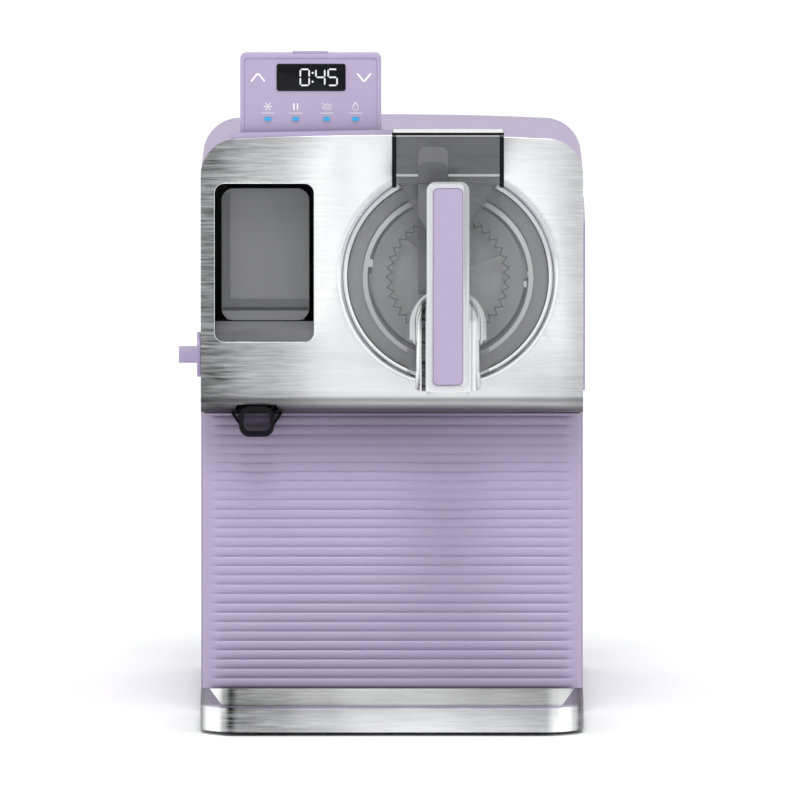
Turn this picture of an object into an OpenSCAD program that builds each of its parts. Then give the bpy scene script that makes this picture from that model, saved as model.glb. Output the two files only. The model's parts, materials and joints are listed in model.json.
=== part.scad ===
// Self-refrigerating soft-serve ice cream maker with a topping dispenser.
// Millimetres, +Z up, front towards -Y, right of the front view towards +X.
// Modules are drawn from a datum on the floor, below the middle of the column's front face.
// place() then moves the datum, so that the finished part stands on the middle of its base.

/* [Body] */
// Width over the side shells
body_w = 236; // [230:1:240]
// Depth from the steel head panel to the rear cover
body_d = 268; // [266:1:272]
// Height of the head at the middle of its front edge
head_top = 363.4; // [363:0.2:365]
// Height of the underside of the head
head_bottom = 189.7; // [189:0.1:190]
// How far the head stands forward of the column
overhang = 22; // [21.5:0.5:22.5]
// Radius of the head's top corners
corner_r = 23; // [22:1:24]
// Wall thickness of the plastic shells
wall = 2.5; // [2:0.5:3]

/* [Drip tray] */
// How far the tray stands forward of the column
tray_d = 104; // [100:1:110]
// Height of the tray's rim above the floor
tray_top = 17.5; // [17:0.5:18]
// Radius of the tray's front corners
tray_r = 24; // [20:1:28]

/* [Column] */
// Distance between neighbouring ribs
rib_pitch = 5.83; // [5.7:0.01:5.9]

/* [Freezing head] */
// Sideways position of the cylinder, cover and spout
cyl_x = 34.5; // [33:0.5:35]
// Height of the cylinder's axis
cyl_z = 276; // [275:0.5:277]
// Bore radius of the freezing cylinder
cyl_r = 49.5; // [49:0.5:50]
// Outer radius of the steel bezel ring
bezel_r = 68.6; // [68:0.2:69]
// How far the spout's axis stands forward of the column
spout_y = 54.5; // [54.5:0.5:56]
// Outer radius of the spout barrel
barrel_r = 20.1; // [20:0.1:20.3]
// Travel of the spout plunger for the lever's full pull
plunger_travel = 12.2; // [11.5:0.1:12.5]

/* [Hopper] */
// Outer width of the hopper
hopper_w = 69; // [66:1:70]
// Height of the lid's upper face
lid_top = 367.6; // [367:0.2:368]

/* [Lever] */
// Width of the lever
lever_w = 26.2; // [26:0.2:27]
// Height of the lever's lower end
lever_z0 = 211.5; // [211:0.5:212]
// Height of the lever's upper end
lever_z1 = 341.2; // [320:0.2:345]

/* [Control panel] */
// Width of the tilting control panel
panel_w = 87; // [80:1:90]
// Height of the panel's upper edge when it stands up
panel_top = 412.8; // [405:0.1:415]

/* [Topping dispenser] */
// Width of the recess in the head panel
recess_w = 61.2; // [60:0.2:62]
// Height of the recess in the head panel
recess_h = 98.3; // [98:0.1:99]
// How far the knob stands out of the left side
knob_out = 13.8; // [13:0.1:20]

/* [Hidden] */
$fn = 64;
eps = 0.01;
gap = 0.3;        // between pieces that move past each other
run = 0.05;       // radial running clearance of a shaft in its bore

half_w = body_w / 2;
front_y = -overhang;
rear_y = front_y + body_d;
steel_t = 1.2;
vent_t = 1.5;
shift_x = (knob_out - vent_t) / 2;
shift_y = (tray_d - rear_y) / 2;
crown_x_r = 2040;  // crown of the top from side to side
top_slope = 3.24;  // fall of the top towards the rear, in degrees
corner_x = half_w - corner_r;
corner_z = head_top - corner_x * corner_x / (2 * crown_x_r) - corner_r;
foot_h = 4;
foot_r = 10;
pan_z1 = foot_h + 2.3;
pan_inset = 6;     // of the base pan from the body's sides
tongue_r = 24;     // corners of the base pan's tongue under the tray
skirt_z0 = 2.5;    // lower edge of the tray's skirt
deck_z = 196;
deck_t = 2;
col_corner_r = 12;
col_w = body_w - 1.5;
col_t = 3;
rib_count = floor((head_bottom - tray_top - 2) / rib_pitch);
curl_r = 15.5;

// screws of the rear cover, vent of the right side and mains inlet
screw_x = half_w - wall - 6;
screw_r = 1.4;
screw_heights = [40, 175, 304];
vent_y0 = 40;
vent_y1 = 190;
vent_z0 = 198;
vent_z1 = 302.6;
mains_x = -78;
mains_z = 40;

// freezing cylinder, from its front rim to its rear plate
cyl_wall = 2.9;
cyl_y0 = front_y + 1.8;
cyl_y1 = 148;
cyl_plate_t = 4;
coil_r = cyl_r + cyl_wall + 3.2;
coil_tube_r = 3;
foam_r0 = coil_r + coil_tube_r + 0.4;
foam_r1 = 68;
shaft_r = 6;
core_r = 9.5;
seal_r = 11;
bearing_r = 13;

// front cover: a dish that closes the cylinder
cover_flange_r = 61.1;
cover_face_r = 53;
cover_t = 2.5;
cover_y = front_y - 12;
port_z = 232;
port_r = 4.5;
inlet_z = 298;

// hopper and its lid
hop_x0 = cyl_x - hopper_w / 2;
hop_x1 = cyl_x + hopper_w / 2;
hop_y0 = front_y - 25;
hop_y1 = front_y - 6.2;
hop_back = front_y - 0.6;
hop_z1 = lid_top - 2;
hop_step = 346.4;
hop_wall = 2.3;
hop_floor = 336;
funnel_y0 = hop_y0 + 2;
lid_hinge_y = front_y - 2.6;
lid_hinge_z = lid_top - 1.9;
lid_hinge_r = 1.9;
lid_pin_r = 0.8;

// spout
spout_z0 = 209.7;
dome_z = 251;
bore_r = 17;
plunger_z0 = 213.6;
plunger_z1 = 240;
pivot_y = -spout_y - 24.5;
pivot_z = 222;
pivot_r = 2;
lug_r = 3.6;
lug_w = 8;
lever_t = 5;
lever_y1 = pivot_y - 2;
lever_y0 = lever_y1 - lever_t;
tongue_l = 17;
tongue_t = 3;
tongue_x0 = 5.8;
tongue_w = 3.5;

// gear pair behind the cylinder
gear_module = 2;
gear_teeth = 44;
pinion_teeth = 12;
gear_pitch_r = gear_module * gear_teeth / 2;
pinion_pitch_r = gear_module * pinion_teeth / 2;
motor_z = cyl_z - gear_pitch_r - pinion_pitch_r;
box_y0 = cyl_y1 + cyl_plate_t + 3;
box_t = 4;
gear_y0 = box_y0 + box_t + 2;
gear_w = 10;
box_y1 = gear_y0 + gear_w + 3;
box_cover_t = 3;
motor_shaft_r = 3;

// cold side machinery below the deck
comp_x = -55;
comp_y = 150;
comp_r = 50;
comp_foot = 42;    // from its axis to each rubber mount, both ways
comp_z0 = 16;      // underside of its base plate
mount_r = 2.5;
suction_x = -48;
drier_x = -100;
drier_y = 92;
cond_x0 = 15;
cond_w = 93;
cond_z0 = 14;
cond_h = 136;
cond_y0 = 206;
cond_d = 26;
fan_x = cond_x0 + cond_w / 2;
fan_z = cond_z0 + cond_h / 2;
fan_r = 38;
shroud_y0 = 197;
shroud_t = 5;
fan_motor_r = 14;
tube_r = 3;

// control panel, standing up in a pocket of the top cover behind a raised rim
rim_x0 = -99.7;
rim_x1 = -0.3;
rim_y1 = front_y + 3.6;
rim_left_z = 364.4;
rim_right_z = 366.5;
pocket_x0 = -94.8;
pocket_x1 = -5.4;
pocket_y1 = 58;
pocket_floor = 351;
panel_x0 = -93.6;
panel_x1 = panel_x0 + panel_w;
panel_base = 361;
panel_y0 = -14;
panel_y1 = -3;
panel_hinge_y = -6;
panel_hinge_z = 356;
hinge_r = 3.6;
hinge_pin_r = 1.5;
display_x0 = -71.2;
display_w = 42.6;
display_z0 = 389.8;
display_h = 16.9;
led_x = [-76.6, -59.4, -40.3, -22.5];
led_z = 372.5;

// topping dispenser
recess_x0 = -109.4;
recess_x1 = recess_x0 + recess_w;
recess_z0 = 235;
recess_z1 = recess_z0 + recess_h;
recess_r = 6;
liner_t = 1.5;
liner_y1 = 72;
bin_x0 = -105.1;
bin_x1 = -51.1;
bin_z0 = 247.2;
bin_z1 = 329;
bin_y0 = -9.5;
bin_y1 = 68;
rotor_x = -83.5;
rotor_y = 20;
rotor_z = 222.6;
rotor_r = 12.6;
rotor_l = 28.4;
rotor_shaft_r = 3;
knob_r = 13.9;
chute_w = 21.6;
chute_z0 = 175.9;

module place() {
    translate([shift_x, shift_y, 0]) children();
}

// a box from one corner to the opposite one
module block(a, b) {
    translate(a) cube(b - a);
}

// cylinder along Y between two depths, centred on x and z
module rod_y(x, z, r, y0, y1) {
    translate([x, y1, z]) rotate([90, 0, 0]) cylinder(r = r, h = y1 - y0);
}

// cylinder along X between two stations, centred on y and z
module rod_x(y, z, r, x0, x1) {
    translate([x0, y, z]) rotate([0, 90, 0]) cylinder(r = r, h = x1 - x0);
}

// cylinder along Z between two heights
module rod_z(x, y, r, z0, z1) {
    translate([x, y, z0]) cylinder(r = r, h = z1 - z0);
}

module tube_y(x, z, r1, r0, y0, y1) {
    difference() {
        rod_y(x, z, r1, y0, y1);
        rod_y(x, z, r0, y0 - 1, y1 + 1);
    }
}

// flat outline drawn in X and Z, given thickness along Y
module slab_y(y0, y1) {
    translate([0, y1, 0]) rotate([90, 0, 0]) linear_extrude(y1 - y0) children();
}

// flat outline drawn in Y and Z, given thickness along X
module slab_x(x0, x1) {
    translate([x0, 0, 0]) rotate([90, 0, 90]) linear_extrude(x1 - x0) children();
}

module round_rect(x0, z0, x1, z1, r) {
    translate([x0 + r, z0]) square([x1 - x0 - 2 * r, z1 - z0]);
    translate([x0, z0 + r]) square([x1 - x0, z1 - z0 - 2 * r]);
    for (x = [x0 + r, x1 - r])
        for (z = [z0 + r, z1 - r])
            translate([x, z]) circle(r);
}

// front outline of the body, drawn inset from its outer face
module body_outline(inset, z0) {
    intersection() {
        union() {
            translate([-half_w + inset, z0]) square([body_w - 2 * inset, corner_z - z0]);
            translate([-corner_x, z0]) square([2 * corner_x, head_top - z0]);
            for (side = [-1, 1])
                translate([side * corner_x, corner_z]) circle(corner_r - inset);
        }
        translate([0, head_top - crown_x_r]) circle(crown_x_r - inset, $fn = 720);
        translate([-half_w, z0]) square([body_w, head_top - z0]);
    }
}

// turned about the top front edge, so that the top falls towards the rear
module tilt() {
    translate([0, front_y, head_top]) rotate([-top_slope, 0, 0]) translate([0, -front_y, -head_top])
        children();
}

// body shape under its sloping top, cut off upright in front and behind
module body_block(inset, y0, y1, z0) {
    intersection() {
        tilt() slab_y(y0 - 30, y1 + 30) body_outline(inset, z0);
        block([-half_w - 1, y0, 0], [half_w + 1, y1, head_top + 1]);
    }
}

// straight tube runs with a ball at each bend
module tube_path(points, r) {
    for (i = [0 : len(points) - 2]) {
        a = points[i];
        b = points[i + 1];
        d = b - a;
        length = norm(d);
        translate(a) rotate([0, acos(d[2] / length), atan2(d[1], d[0])]) cylinder(r = r, h = length);
        if (i > 0)
            translate(a) sphere(r);
    }
}

// ---- base, tray and shells ----

module base_pan() {
    corner_y = -tray_d + pan_inset + tongue_r;
    color("dimgray") place() difference() {
        union() {
            block([-half_w + pan_inset, corner_y, foot_h], [half_w - pan_inset, rear_y - 4, pan_z1]);
            block([-half_w + pan_inset + tongue_r, corner_y - tongue_r, foot_h],
                  [half_w - pan_inset - tongue_r, corner_y + 1, pan_z1]);
            for (side = [-1, 1])
                rod_z(side * (half_w - pan_inset - tongue_r), corner_y, tongue_r, foot_h, pan_z1);
            block([-half_w + 2.7, col_corner_r + 1, foot_h], [half_w - 2.7, rear_y - 2.8, pan_z1]);
            for (side = [-1, 1])
                block([side * (half_w - 3.8) - 1, col_corner_r + 1, foot_h],
                      [side * (half_w - 3.8) + 1, rear_y - 2.8, 16]);
        }
        for (x = [comp_x - comp_foot, comp_x + comp_foot])
            for (y = [comp_y - comp_foot, comp_y + comp_foot])
                rod_z(x, y, mount_r + 0.1, 0, pan_z1 + 1);
    }
}

module rubber_feet() {
    color("black") place()
        for (x = [-92, 92])
            for (y = [-76, 222])
                rod_z(x, y, foot_r, 0, foot_h);
}

// shallow basin; the hollow under its floor leaves room for the base pan's tongue
module drip_tray() {
    skirt_in = 5;
    floor_z = 8;
    color("silver") place() difference() {
        union() {
            block([-half_w, -tray_d + tray_r, skirt_z0], [half_w, -1, tray_top]);
            block([-half_w + tray_r, -tray_d, skirt_z0], [half_w - tray_r, -tray_d + tray_r + 1, tray_top]);
            for (side = [-1, 1])
                rod_z(side * (half_w - tray_r), -tray_d + tray_r, tray_r, skirt_z0, tray_top);
        }
        hull() {
            translate([0, 0, floor_z]) linear_extrude(eps) basin(6.3);
            translate([0, 0, tray_top]) linear_extrude(eps) basin(0);
        }
        difference() {
            block([-half_w + skirt_in, -tray_d + skirt_in, 0], [half_w - skirt_in, 0, pan_z1 + 0.4]);
            for (side = [-1, 1])
                difference() {
                    block([side * (half_w - tray_r / 2) - tray_r / 2, -tray_d, 0],
                          [side * (half_w - tray_r / 2) + tray_r / 2, -tray_d + tray_r, 20]);
                    rod_z(side * (half_w - tray_r - 1), -tray_d + tray_r + 1, tray_r - 4, -1, 21);
                }
        }
    }
}

// outline of the tray's basin, wider towards the column
module basin(inset) {
    front_half = 104.3 - inset;
    rear_half = 112.8 - inset;
    y0 = -tray_d + 11 + inset * 0.7;
    y1 = -5 - inset * 0.7;
    polygon([[-rear_half, y1], [-front_half, y0], [front_half, y0], [rear_half, y1]]);
}

module column_plan(inset) {
    half = col_w / 2;
    translate([-half + col_corner_r, inset]) square([col_w - 2 * col_corner_r, col_corner_r - inset + 1]);
    intersection() {
        translate([-half, 0]) square([col_w, col_corner_r]);
        for (side = [-1, 1])
            translate([side * (half - col_corner_r), col_corner_r]) circle(col_corner_r - inset);
    }
}

module column_front() {
    z0 = pan_z1 + 0.1;
    rib_r = 3.2;
    rib_half = col_w / 2 - col_corner_r;
    color("#bdb0d0") place() difference() {
        union() {
            translate([0, 0, z0]) linear_extrude(head_bottom - 0.5 - z0) difference() {
                column_plan(0);
                column_plan(col_t);
                translate([-half_w, col_corner_r]) square([body_w, 5]);
            }
            for (i = [0 : rib_count - 1])
                rod_x(rib_r - 0.9, tray_top + 3 + (i + 0.5) * rib_pitch, rib_r, -rib_half, rib_half);
        }
        block([-rib_half - 1, col_t + 0.4, 0], [rib_half + 1, 20, head_bottom]);
    }
}

// flat side of the body; its rear lip takes the rear cover's screws
module side_shell(side) {
    x_in = half_w - wall;
    difference() {
        union() {
            block([min(side * x_in, side * half_w), col_corner_r + 0.2, foot_h + 2],
                  [max(side * x_in, side * half_w), rear_y - wall - 0.2, corner_z - 0.2]);
            block([min(side * x_in, side * half_w), front_y + steel_t, head_bottom + curl_r],
                  [max(side * x_in, side * half_w), col_corner_r + 1, corner_z - 0.2]);
            slab_x(min(side * x_in, side * half_w), max(side * x_in, side * half_w))
                translate([front_y + curl_r, head_bottom + curl_r]) circle(curl_r - steel_t);
            block([min(side * x_in, side * half_w), front_y + curl_r, head_bottom + steel_t],
                  [max(side * x_in, side * half_w), col_corner_r + 1, head_bottom + curl_r + 1]);
            block([min(side * x_in, side * (x_in - 12)), rear_y - wall - 4, 20],
                  [max(side * x_in, side * (x_in - 12)), rear_y - wall - 0.2, corner_z - 22]);
        }
        tilt() block([-half_w - 1, front_y - 30, corner_z - 0.2], [half_w + 1, rear_y + 30, head_top + 60]);
        for (z = screw_heights)
            rod_y(side * screw_x, z, screw_r + run, rear_y - wall - 6, rear_y);
        if (side < 0)
            rod_x(rotor_y, rotor_z, rotor_shaft_r + 1, -half_w - 1, -half_w + wall + 1);
        if (side > 0)
            block([half_w - wall - 1, vent_y0 + 6, vent_z0 + 6], [half_w + 1, vent_y1 - 6, vent_z1 - 6]);
    }
}

module left_side_shell() {
    color("#bdb0d0") place() side_shell(-1);
}

module right_side_shell() {
    color("#bdb0d0") place() side_shell(1);
}

module rear_cover() {
    slot_w = 3;
    slot_pitch = 6.5;
    color("#bdb0d0") place() difference() {
        intersection() {
            body_block(0, rear_y - wall, rear_y, -40);
            block([-half_w - 1, 0, foot_h + 2], [half_w + 1, rear_y + 1, head_top]);
        }
        for (i = [0 : 13])
            block([cond_x0 + 3 + i * slot_pitch, rear_y - wall - 1, 24],
                  [cond_x0 + 3 + i * slot_pitch + slot_w, rear_y + 1, 140]);
        block([mains_x - 14.2, rear_y - wall - 1, mains_z - 10.2],
              [mains_x + 14.2, rear_y + 1, mains_z + 10.2]);
        for (side = [-1, 1])
            for (z = screw_heights) {
                rod_y(side * screw_x, z, screw_r + run, rear_y - wall - 1, rear_y + 1);
                rod_y(side * screw_x, z, 3.2, rear_y - 1.5, rear_y + 1);
            }
    }
}

module top_cover() {
    color("#bdb0d0") place() difference() {
        union() {
            difference() {
                body_block(0, front_y + steel_t, rear_y - wall - 0.2, corner_z - 0.1);
                body_block(wall, front_y, rear_y, corner_z - 1);
            }
            slab_y(front_y + steel_t, rim_y1)
                polygon([[rim_x0, 355], [rim_x0, rim_left_z], [rim_x1, rim_right_z], [rim_x1, 355]]);
            intersection() {
                block([pocket_x0 - 2, front_y + steel_t, pocket_floor - 2],
                      [pocket_x1 + 2, pocket_y1 + 2, head_top]);
                body_block(0, front_y + steel_t, rear_y, corner_z - 0.1);
            }
        }
        block([pocket_x0, rim_y1, pocket_floor], [pocket_x1, pocket_y1, head_top + 5]);
        rod_x(panel_hinge_y, panel_hinge_z, hinge_pin_r, pocket_x0 - 1.5, pocket_x1 + 1.5);
    }
}

module front_panel() {
    color("lightgray") place() difference() {
        union() {
            intersection() {
                slab_y(front_y, front_y + steel_t) body_outline(0, head_bottom);
                block([-half_w - 1, front_y - 1, head_bottom + curl_r], [half_w + 1, 10, head_top + 1]);
            }
            slab_x(-half_w, half_w) difference() {
                translate([front_y + curl_r, head_bottom + curl_r]) circle(curl_r);
                translate([front_y + curl_r, head_bottom + curl_r]) circle(curl_r - steel_t);
                translate([front_y - 1, head_bottom + curl_r]) square([3 * curl_r, 2 * curl_r]);
                translate([front_y + curl_r, head_bottom - 1]) square([2 * curl_r, 3 * curl_r]);
            }
            block([-half_w, front_y + curl_r, head_bottom], [half_w, -0.5, head_bottom + steel_t]);
        }
        slab_y(front_y - 1, front_y + 3)
            round_rect(recess_x0, recess_z0, recess_x1, recess_z1, recess_r);
        rod_y(cyl_x, cyl_z, cover_flange_r + 1.5, front_y - 1, front_y + 3);
        slab_y(front_y - 1, 1) translate([rotor_x, head_bottom])
            polygon([[-14.6, -1], [-12, 5.8], [12, 5.8], [14.6, -1]]);
    }
}

// ---- front cover, hopper and spout ----

module revolve_y(x, z) {
    translate([x, 0, z]) rotate([-90, 0, 0]) rotate_extrude($fn = 96) children();
}

module bezel_ring() {
    inner = cover_flange_r + 0.4;
    color("gainsboro") place() revolve_y(cyl_x, cyl_z)
        polygon([[inner, front_y], [inner, front_y - 4], [inner + 1.6, front_y - 4.6],
                 [bezel_r - 4.4, front_y - 3.4], [bezel_r - 2.2, front_y - 5.4],
                 [bezel_r - 0.5, front_y - 4.6], [bezel_r, front_y - 3.4], [bezel_r, front_y]]);
}

module front_cover() {
    house_half = 25.3;
    house_z = 247;
    house_y0 = -spout_y + 1.5;
    color("dimgray") place() difference() {
        union() {
            revolve_y(cyl_x, cyl_z)
                polygon([[0, cover_y], [cover_face_r - 3, cover_y], [cover_face_r, cover_y + 3],
                         [cover_face_r, cover_y + 4.5], [cover_flange_r, cover_y + 4.5],
                         [cover_flange_r, cover_y + 7.5], [cover_face_r, cover_y + 7.5],
                         [cover_face_r, cyl_y0 - 2.4], [cover_face_r - 2.7, cyl_y0 - 2.4],
                         [cover_face_r - 2.7, cover_y + cover_t], [0, cover_y + cover_t]]);
            slab_y(house_y0, cover_y + 0.5) union() {
                translate([cyl_x, house_z]) circle(house_half);
                translate([cyl_x - house_half, 219]) square([2 * house_half, house_z - 219]);
            }
        }
        rod_z(cyl_x, -spout_y, barrel_r + 0.1, 200, dome_z);
        translate([cyl_x, -spout_y, dome_z]) sphere(barrel_r + 0.1);
        rod_y(cyl_x, port_z, 7.1, cover_y - 20, cover_y);
        rod_y(cyl_x, port_z, port_r, cover_y - 1, cover_y + 5);
        block([cyl_x - 8, cover_y - 1, inlet_z - 6], [cyl_x + 8, cover_y + 5, inlet_z + 6]);
    }
}

// outline of the funnel's V, with its neck at the inlet of the cover
module funnel_outline(inset) {
    top = 31 - inset;
    neck = 10 - inset;
    polygon([[cyl_x - top, 336.2], [cyl_x - neck, 303], [cyl_x - neck, 290 + inset],
             [cyl_x + neck, 290 + inset], [cyl_x + neck, 303], [cyl_x + top, 336.2]]);
}

module hopper() {
    color("dimgray") place() difference() {
        union() {
            block([hop_x0, hop_y0, hop_floor], [hop_x1, hop_y1, hop_z1]);
            block([hop_x0, hop_y1 - eps, hop_step], [hop_x1, hop_back, lid_hinge_z - lid_hinge_r - 0.3]);
            slab_y(funnel_y0, cover_y - 0.1) funnel_outline(0);
            for (x = [hop_x0 + 3, hop_x1 - 9])
                difference() {
                    union() {
                        rod_x(lid_hinge_y, lid_hinge_z, lid_hinge_r, x, x + 6);
                        block([x, lid_hinge_y - lid_hinge_r, lid_hinge_z - lid_hinge_r - 1],
                              [x + 6, lid_hinge_y + lid_hinge_r, lid_hinge_z]);
                    }
                    rod_x(lid_hinge_y, lid_hinge_z, lid_pin_r + run, x - 1, x + 7);
                }
        }
        block([hop_x0 + hop_wall, hop_y0 + hop_wall, hop_floor + hop_wall],
              [hop_x1 - hop_wall, hop_y1 - hop_wall, hop_z1 + 5]);
        block([hop_x0 + hop_wall, hop_y1 - hop_wall - 1, hop_step + hop_wall],
              [hop_x1 - hop_wall, hop_back - hop_wall - 1.6, lid_hinge_z - lid_hinge_r]);
        slab_y(funnel_y0 + 2, hop_y1 - hop_wall) {
            funnel_outline(2);
            translate([cyl_x - 29, hop_floor]) square([58, 4]);
        }
        rod_y(cyl_x, cyl_z, cover_flange_r + 0.1, cover_y + 4.4, front_y);
    }
}

module hopper_lid() {
    color("gray") place() difference() {
        union() {
            block([hop_x0, hop_y0, lid_top - 1.7], [hop_x1, lid_hinge_y - 2.2, lid_top]);
            block([hop_x0 + hop_wall + 0.4, hop_y0 + hop_wall + 0.4, lid_top - 5],
                  [hop_x1 - hop_wall - 0.4, hop_y1 - hop_wall - 0.6, lid_top - 1]);
            rod_x(lid_hinge_y, lid_hinge_z, lid_hinge_r, hop_x0 + 9.4, hop_x1 - 9.4);
            block([hop_x0 + 9.4, lid_hinge_y - 3, lid_top - 1.7], [hop_x1 - 9.4, lid_hinge_y, lid_top]);
        }
        rod_x(lid_hinge_y, lid_hinge_z, lid_pin_r + run, hop_x0, hop_x1);
    }
}

module hopper_lid_pin() {
    color("silver") place() rod_x(lid_hinge_y, lid_hinge_z, lid_pin_r, hop_x0 + 3, hop_x1 - 3);
}

// ring between the cover and the cylinder's rim, and a flat ring behind the spout's port
module cover_seals() {
    color("whitesmoke") place() {
        revolve_y(cyl_x, cyl_z)
            polygon([[cyl_r + 0.6, cyl_y0 - 2.35], [cyl_r + 2.6, cyl_y0 - 2.35],
                     [cyl_r + 2.6, cyl_y0 - 0.05], [cyl_r + 0.6, cyl_y0 - 0.05]]);
        tube_y(cyl_x, port_z, 6.8, port_r, cover_y - 1.2, cover_y - 0.02);
    }
}

// arched trim that frames the top of the barrel
module spout_collar() {
    arch_z = 247;
    foot_z = 240;
    y0 = -spout_y - 1.2;
    y1 = -spout_y + 1.4;
    color("gray") place() difference() {
        slab_y(y0, y1) {
            translate([cyl_x, arch_z + 2]) circle(23.6);
            translate([cyl_x - 23.6, foot_z]) square([47.2, arch_z + 2 - foot_z]);
        }
        rod_z(cyl_x, -spout_y, barrel_r + 0.1, 200, dome_z);
        translate([cyl_x, -spout_y, dome_z]) sphere(barrel_r + 0.1);
    }
}

module spout_barrel() {
    color("lightgray") place() difference() {
        union() {
            rod_z(cyl_x, -spout_y, barrel_r, spout_z0, dome_z);
            translate([cyl_x, -spout_y, dome_z]) sphere(barrel_r);
            rod_y(cyl_x, port_z, 7, -spout_y + 10, cover_y - 1.25);
            block([cyl_x - lug_w / 2, pivot_y, pivot_z - lug_r],
                  [cyl_x + lug_w / 2, -spout_y - 18, pivot_z + lug_r]);
            rod_x(pivot_y, pivot_z, lug_r, cyl_x - lug_w / 2, cyl_x + lug_w / 2);
        }
        rod_z(cyl_x, -spout_y, bore_r, spout_z0 - 1, dome_z);
        translate([cyl_x, -spout_y, dome_z]) sphere(bore_r);
        rod_y(cyl_x, port_z, port_r, -spout_y, cover_y + 5);
        rod_y(cyl_x, port_z, 7.1, cover_y - 1.25, cover_y + 1);
        rod_x(pivot_y, pivot_z, pivot_r + run, cyl_x - lug_w, cyl_x + lug_w);
        for (side = [-1, 1])
            translate([cyl_x + side * (tongue_x0 + tongue_w / 2), -spout_y - 18, 0])
                block([-tongue_w / 2 - 0.5, -8, pivot_z - 5.5], [tongue_w / 2 + 0.5, 6, pivot_z + 14]);
    }
}

module star_nozzle() {
    flange_t = 3;
    points_n = 6;
    color("whitesmoke") place() translate([cyl_x, -spout_y, 0]) difference() {
        union() {
            translate([0, 0, spout_z0 + 0.2]) cylinder(r = bore_r - 0.1, h = flange_t);
            translate([0, 0, spout_z0 - 3.5]) cylinder(r = 13, h = 5);
        }
        translate([0, 0, spout_z0 - 5]) linear_extrude(12)
            polygon([for (i = [0 : 2 * points_n - 1])
                let (r = i % 2 == 0 ? 11 : 6.4, a = 180 * i / points_n)
                [r * cos(a), r * sin(a)]]);
    }
}

// spool valve: raised, its rear window meets the port of the barrel
module plunger() {
    window_z = port_z - plunger_travel;
    groove_z = plunger_z1 - 2.4;
    color("white") place() difference() {
        rod_z(cyl_x, -spout_y, bore_r - run, plunger_z0, plunger_z1);
        rod_z(cyl_x, -spout_y, 7, plunger_z0 - 1, window_z + port_r);
        rod_y(cyl_x, window_z, port_r, -spout_y, -spout_y + 20);
        for (side = [-1, 1])
            translate([cyl_x + side * (tongue_x0 + tongue_w / 2), pivot_y + tongue_l, pivot_z])
                block([-tongue_w / 2 - 0.5, -20, -5.8], [tongue_w / 2 + 0.5, 0.9, 3.1]);
        translate([cyl_x, -spout_y, groove_z]) difference() {
            cylinder(r = bore_r + 1, h = 1.8, center = true);
            cylinder(r = bore_r - 1.6, h = 3, center = true);
        }
        translate([cyl_x, -spout_y, plunger_z1 - 0.8]) difference() {
            cylinder(r = bore_r + 1, h = 2);
            cylinder(r = bore_r - 0.8, h = 2);
        }
    }
}

module plunger_seal() {
    color("black") place() translate([cyl_x, -spout_y, plunger_z1 - 2.4]) difference() {
        cylinder(r = bore_r - 0.02, h = 1.6, center = true);
        cylinder(r = bore_r - 1.58, h = 3, center = true);
    }
}

module lever_frame() {
    border = 3.75;
    color("gainsboro") place() difference() {
        union() {
            slab_y(lever_y0, lever_y1)
                round_rect(cyl_x - lever_w / 2, lever_z0, cyl_x + lever_w / 2, lever_z1, 5.5);
            for (side = [-1, 1])
                translate([cyl_x + side * (lug_w / 2 + 4.1), 0, 0]) {
                    rod_x(pivot_y, pivot_z, lug_r, -3.8, 3.8);
                    block([-3.8, lever_y1 - eps, pivot_z - lug_r], [3.8, pivot_y, pivot_z + lug_r]);
                    translate([side * (tongue_x0 + tongue_w / 2 - lug_w / 2 - 4.1), 0, 0])
                        block([-tongue_w / 2, pivot_y, pivot_z - tongue_t / 2],
                              [tongue_w / 2, pivot_y + tongue_l, pivot_z + tongue_t / 2]);
                }
        }
        slab_y(lever_y0 - 1, lever_y0 + 2)
            round_rect(cyl_x - lever_w / 2 + border, lever_z0 + border,
                       cyl_x + lever_w / 2 - border, lever_z1 - border, 3.5);
        rod_x(pivot_y, pivot_z, pivot_r, cyl_x - 20, cyl_x + 20);
        rod_x(pivot_y, pivot_z, lug_r + gap, cyl_x - lug_w / 2 - gap, cyl_x + lug_w / 2 + gap);
        block([cyl_x - lug_w / 2 - 0.3, lever_y1, pivot_z - 8], [cyl_x + lug_w / 2 + 0.3, 0, pivot_z + 8]);
        slab_x(cyl_x - 20, cyl_x + 20)
            polygon([[lever_y1 + 1, lever_z0 - 1], [lever_y1 + 1, lever_z0 + 4.5], [lever_y0 + 1.5, lever_z0 - 1]]);
    }
}

module lever_inlay() {
    border = 3.9;
    color("#bdb0d0") place() slab_y(lever_y0 + 0.3, lever_y0 + 2)
        round_rect(cyl_x - lever_w / 2 + border, lever_z0 + border,
                   cyl_x + lever_w / 2 - border, lever_z1 - border, 3.4);
}

module lever_pin() {
    color("silver") place() rod_x(pivot_y, pivot_z, pivot_r, cyl_x - 11.9, cyl_x + 11.9);
}

// ---- cylinder, auger and drive ----

module freezing_cylinder() {
    color("silver") place() {
        difference() {
            rod_y(cyl_x, cyl_z, cyl_r + cyl_wall, cyl_y0, cyl_y1 + cyl_plate_t);
            rod_y(cyl_x, cyl_z, cyl_r, cyl_y0 - 1, cyl_y1);
            rod_y(cyl_x, cyl_z, seal_r, cyl_y1 - 1, cyl_y1 + cyl_plate_t + 1);
        }
    }
}

module evaporator_coil() {
    turns = 12;
    pitch = 12;
    color("chocolate") place() {
        for (i = [0 : turns - 1])
            translate([cyl_x, 4 + i * pitch, cyl_z]) rotate([90, 0, 0])
                rotate_extrude() translate([coil_r, 0]) circle(coil_tube_r, $fn = 24);
        for (a = [160, 200])
            rod_y(cyl_x + coil_r * cos(a), cyl_z + coil_r * sin(a), coil_tube_r - 0.2, 4, cyl_y1 + 2);
    }
}

module insulation_jacket() {
    color("lightyellow") place() tube_y(cyl_x, cyl_z, foam_r1, foam_r0, -8, cyl_y1 - 2);
}

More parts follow.
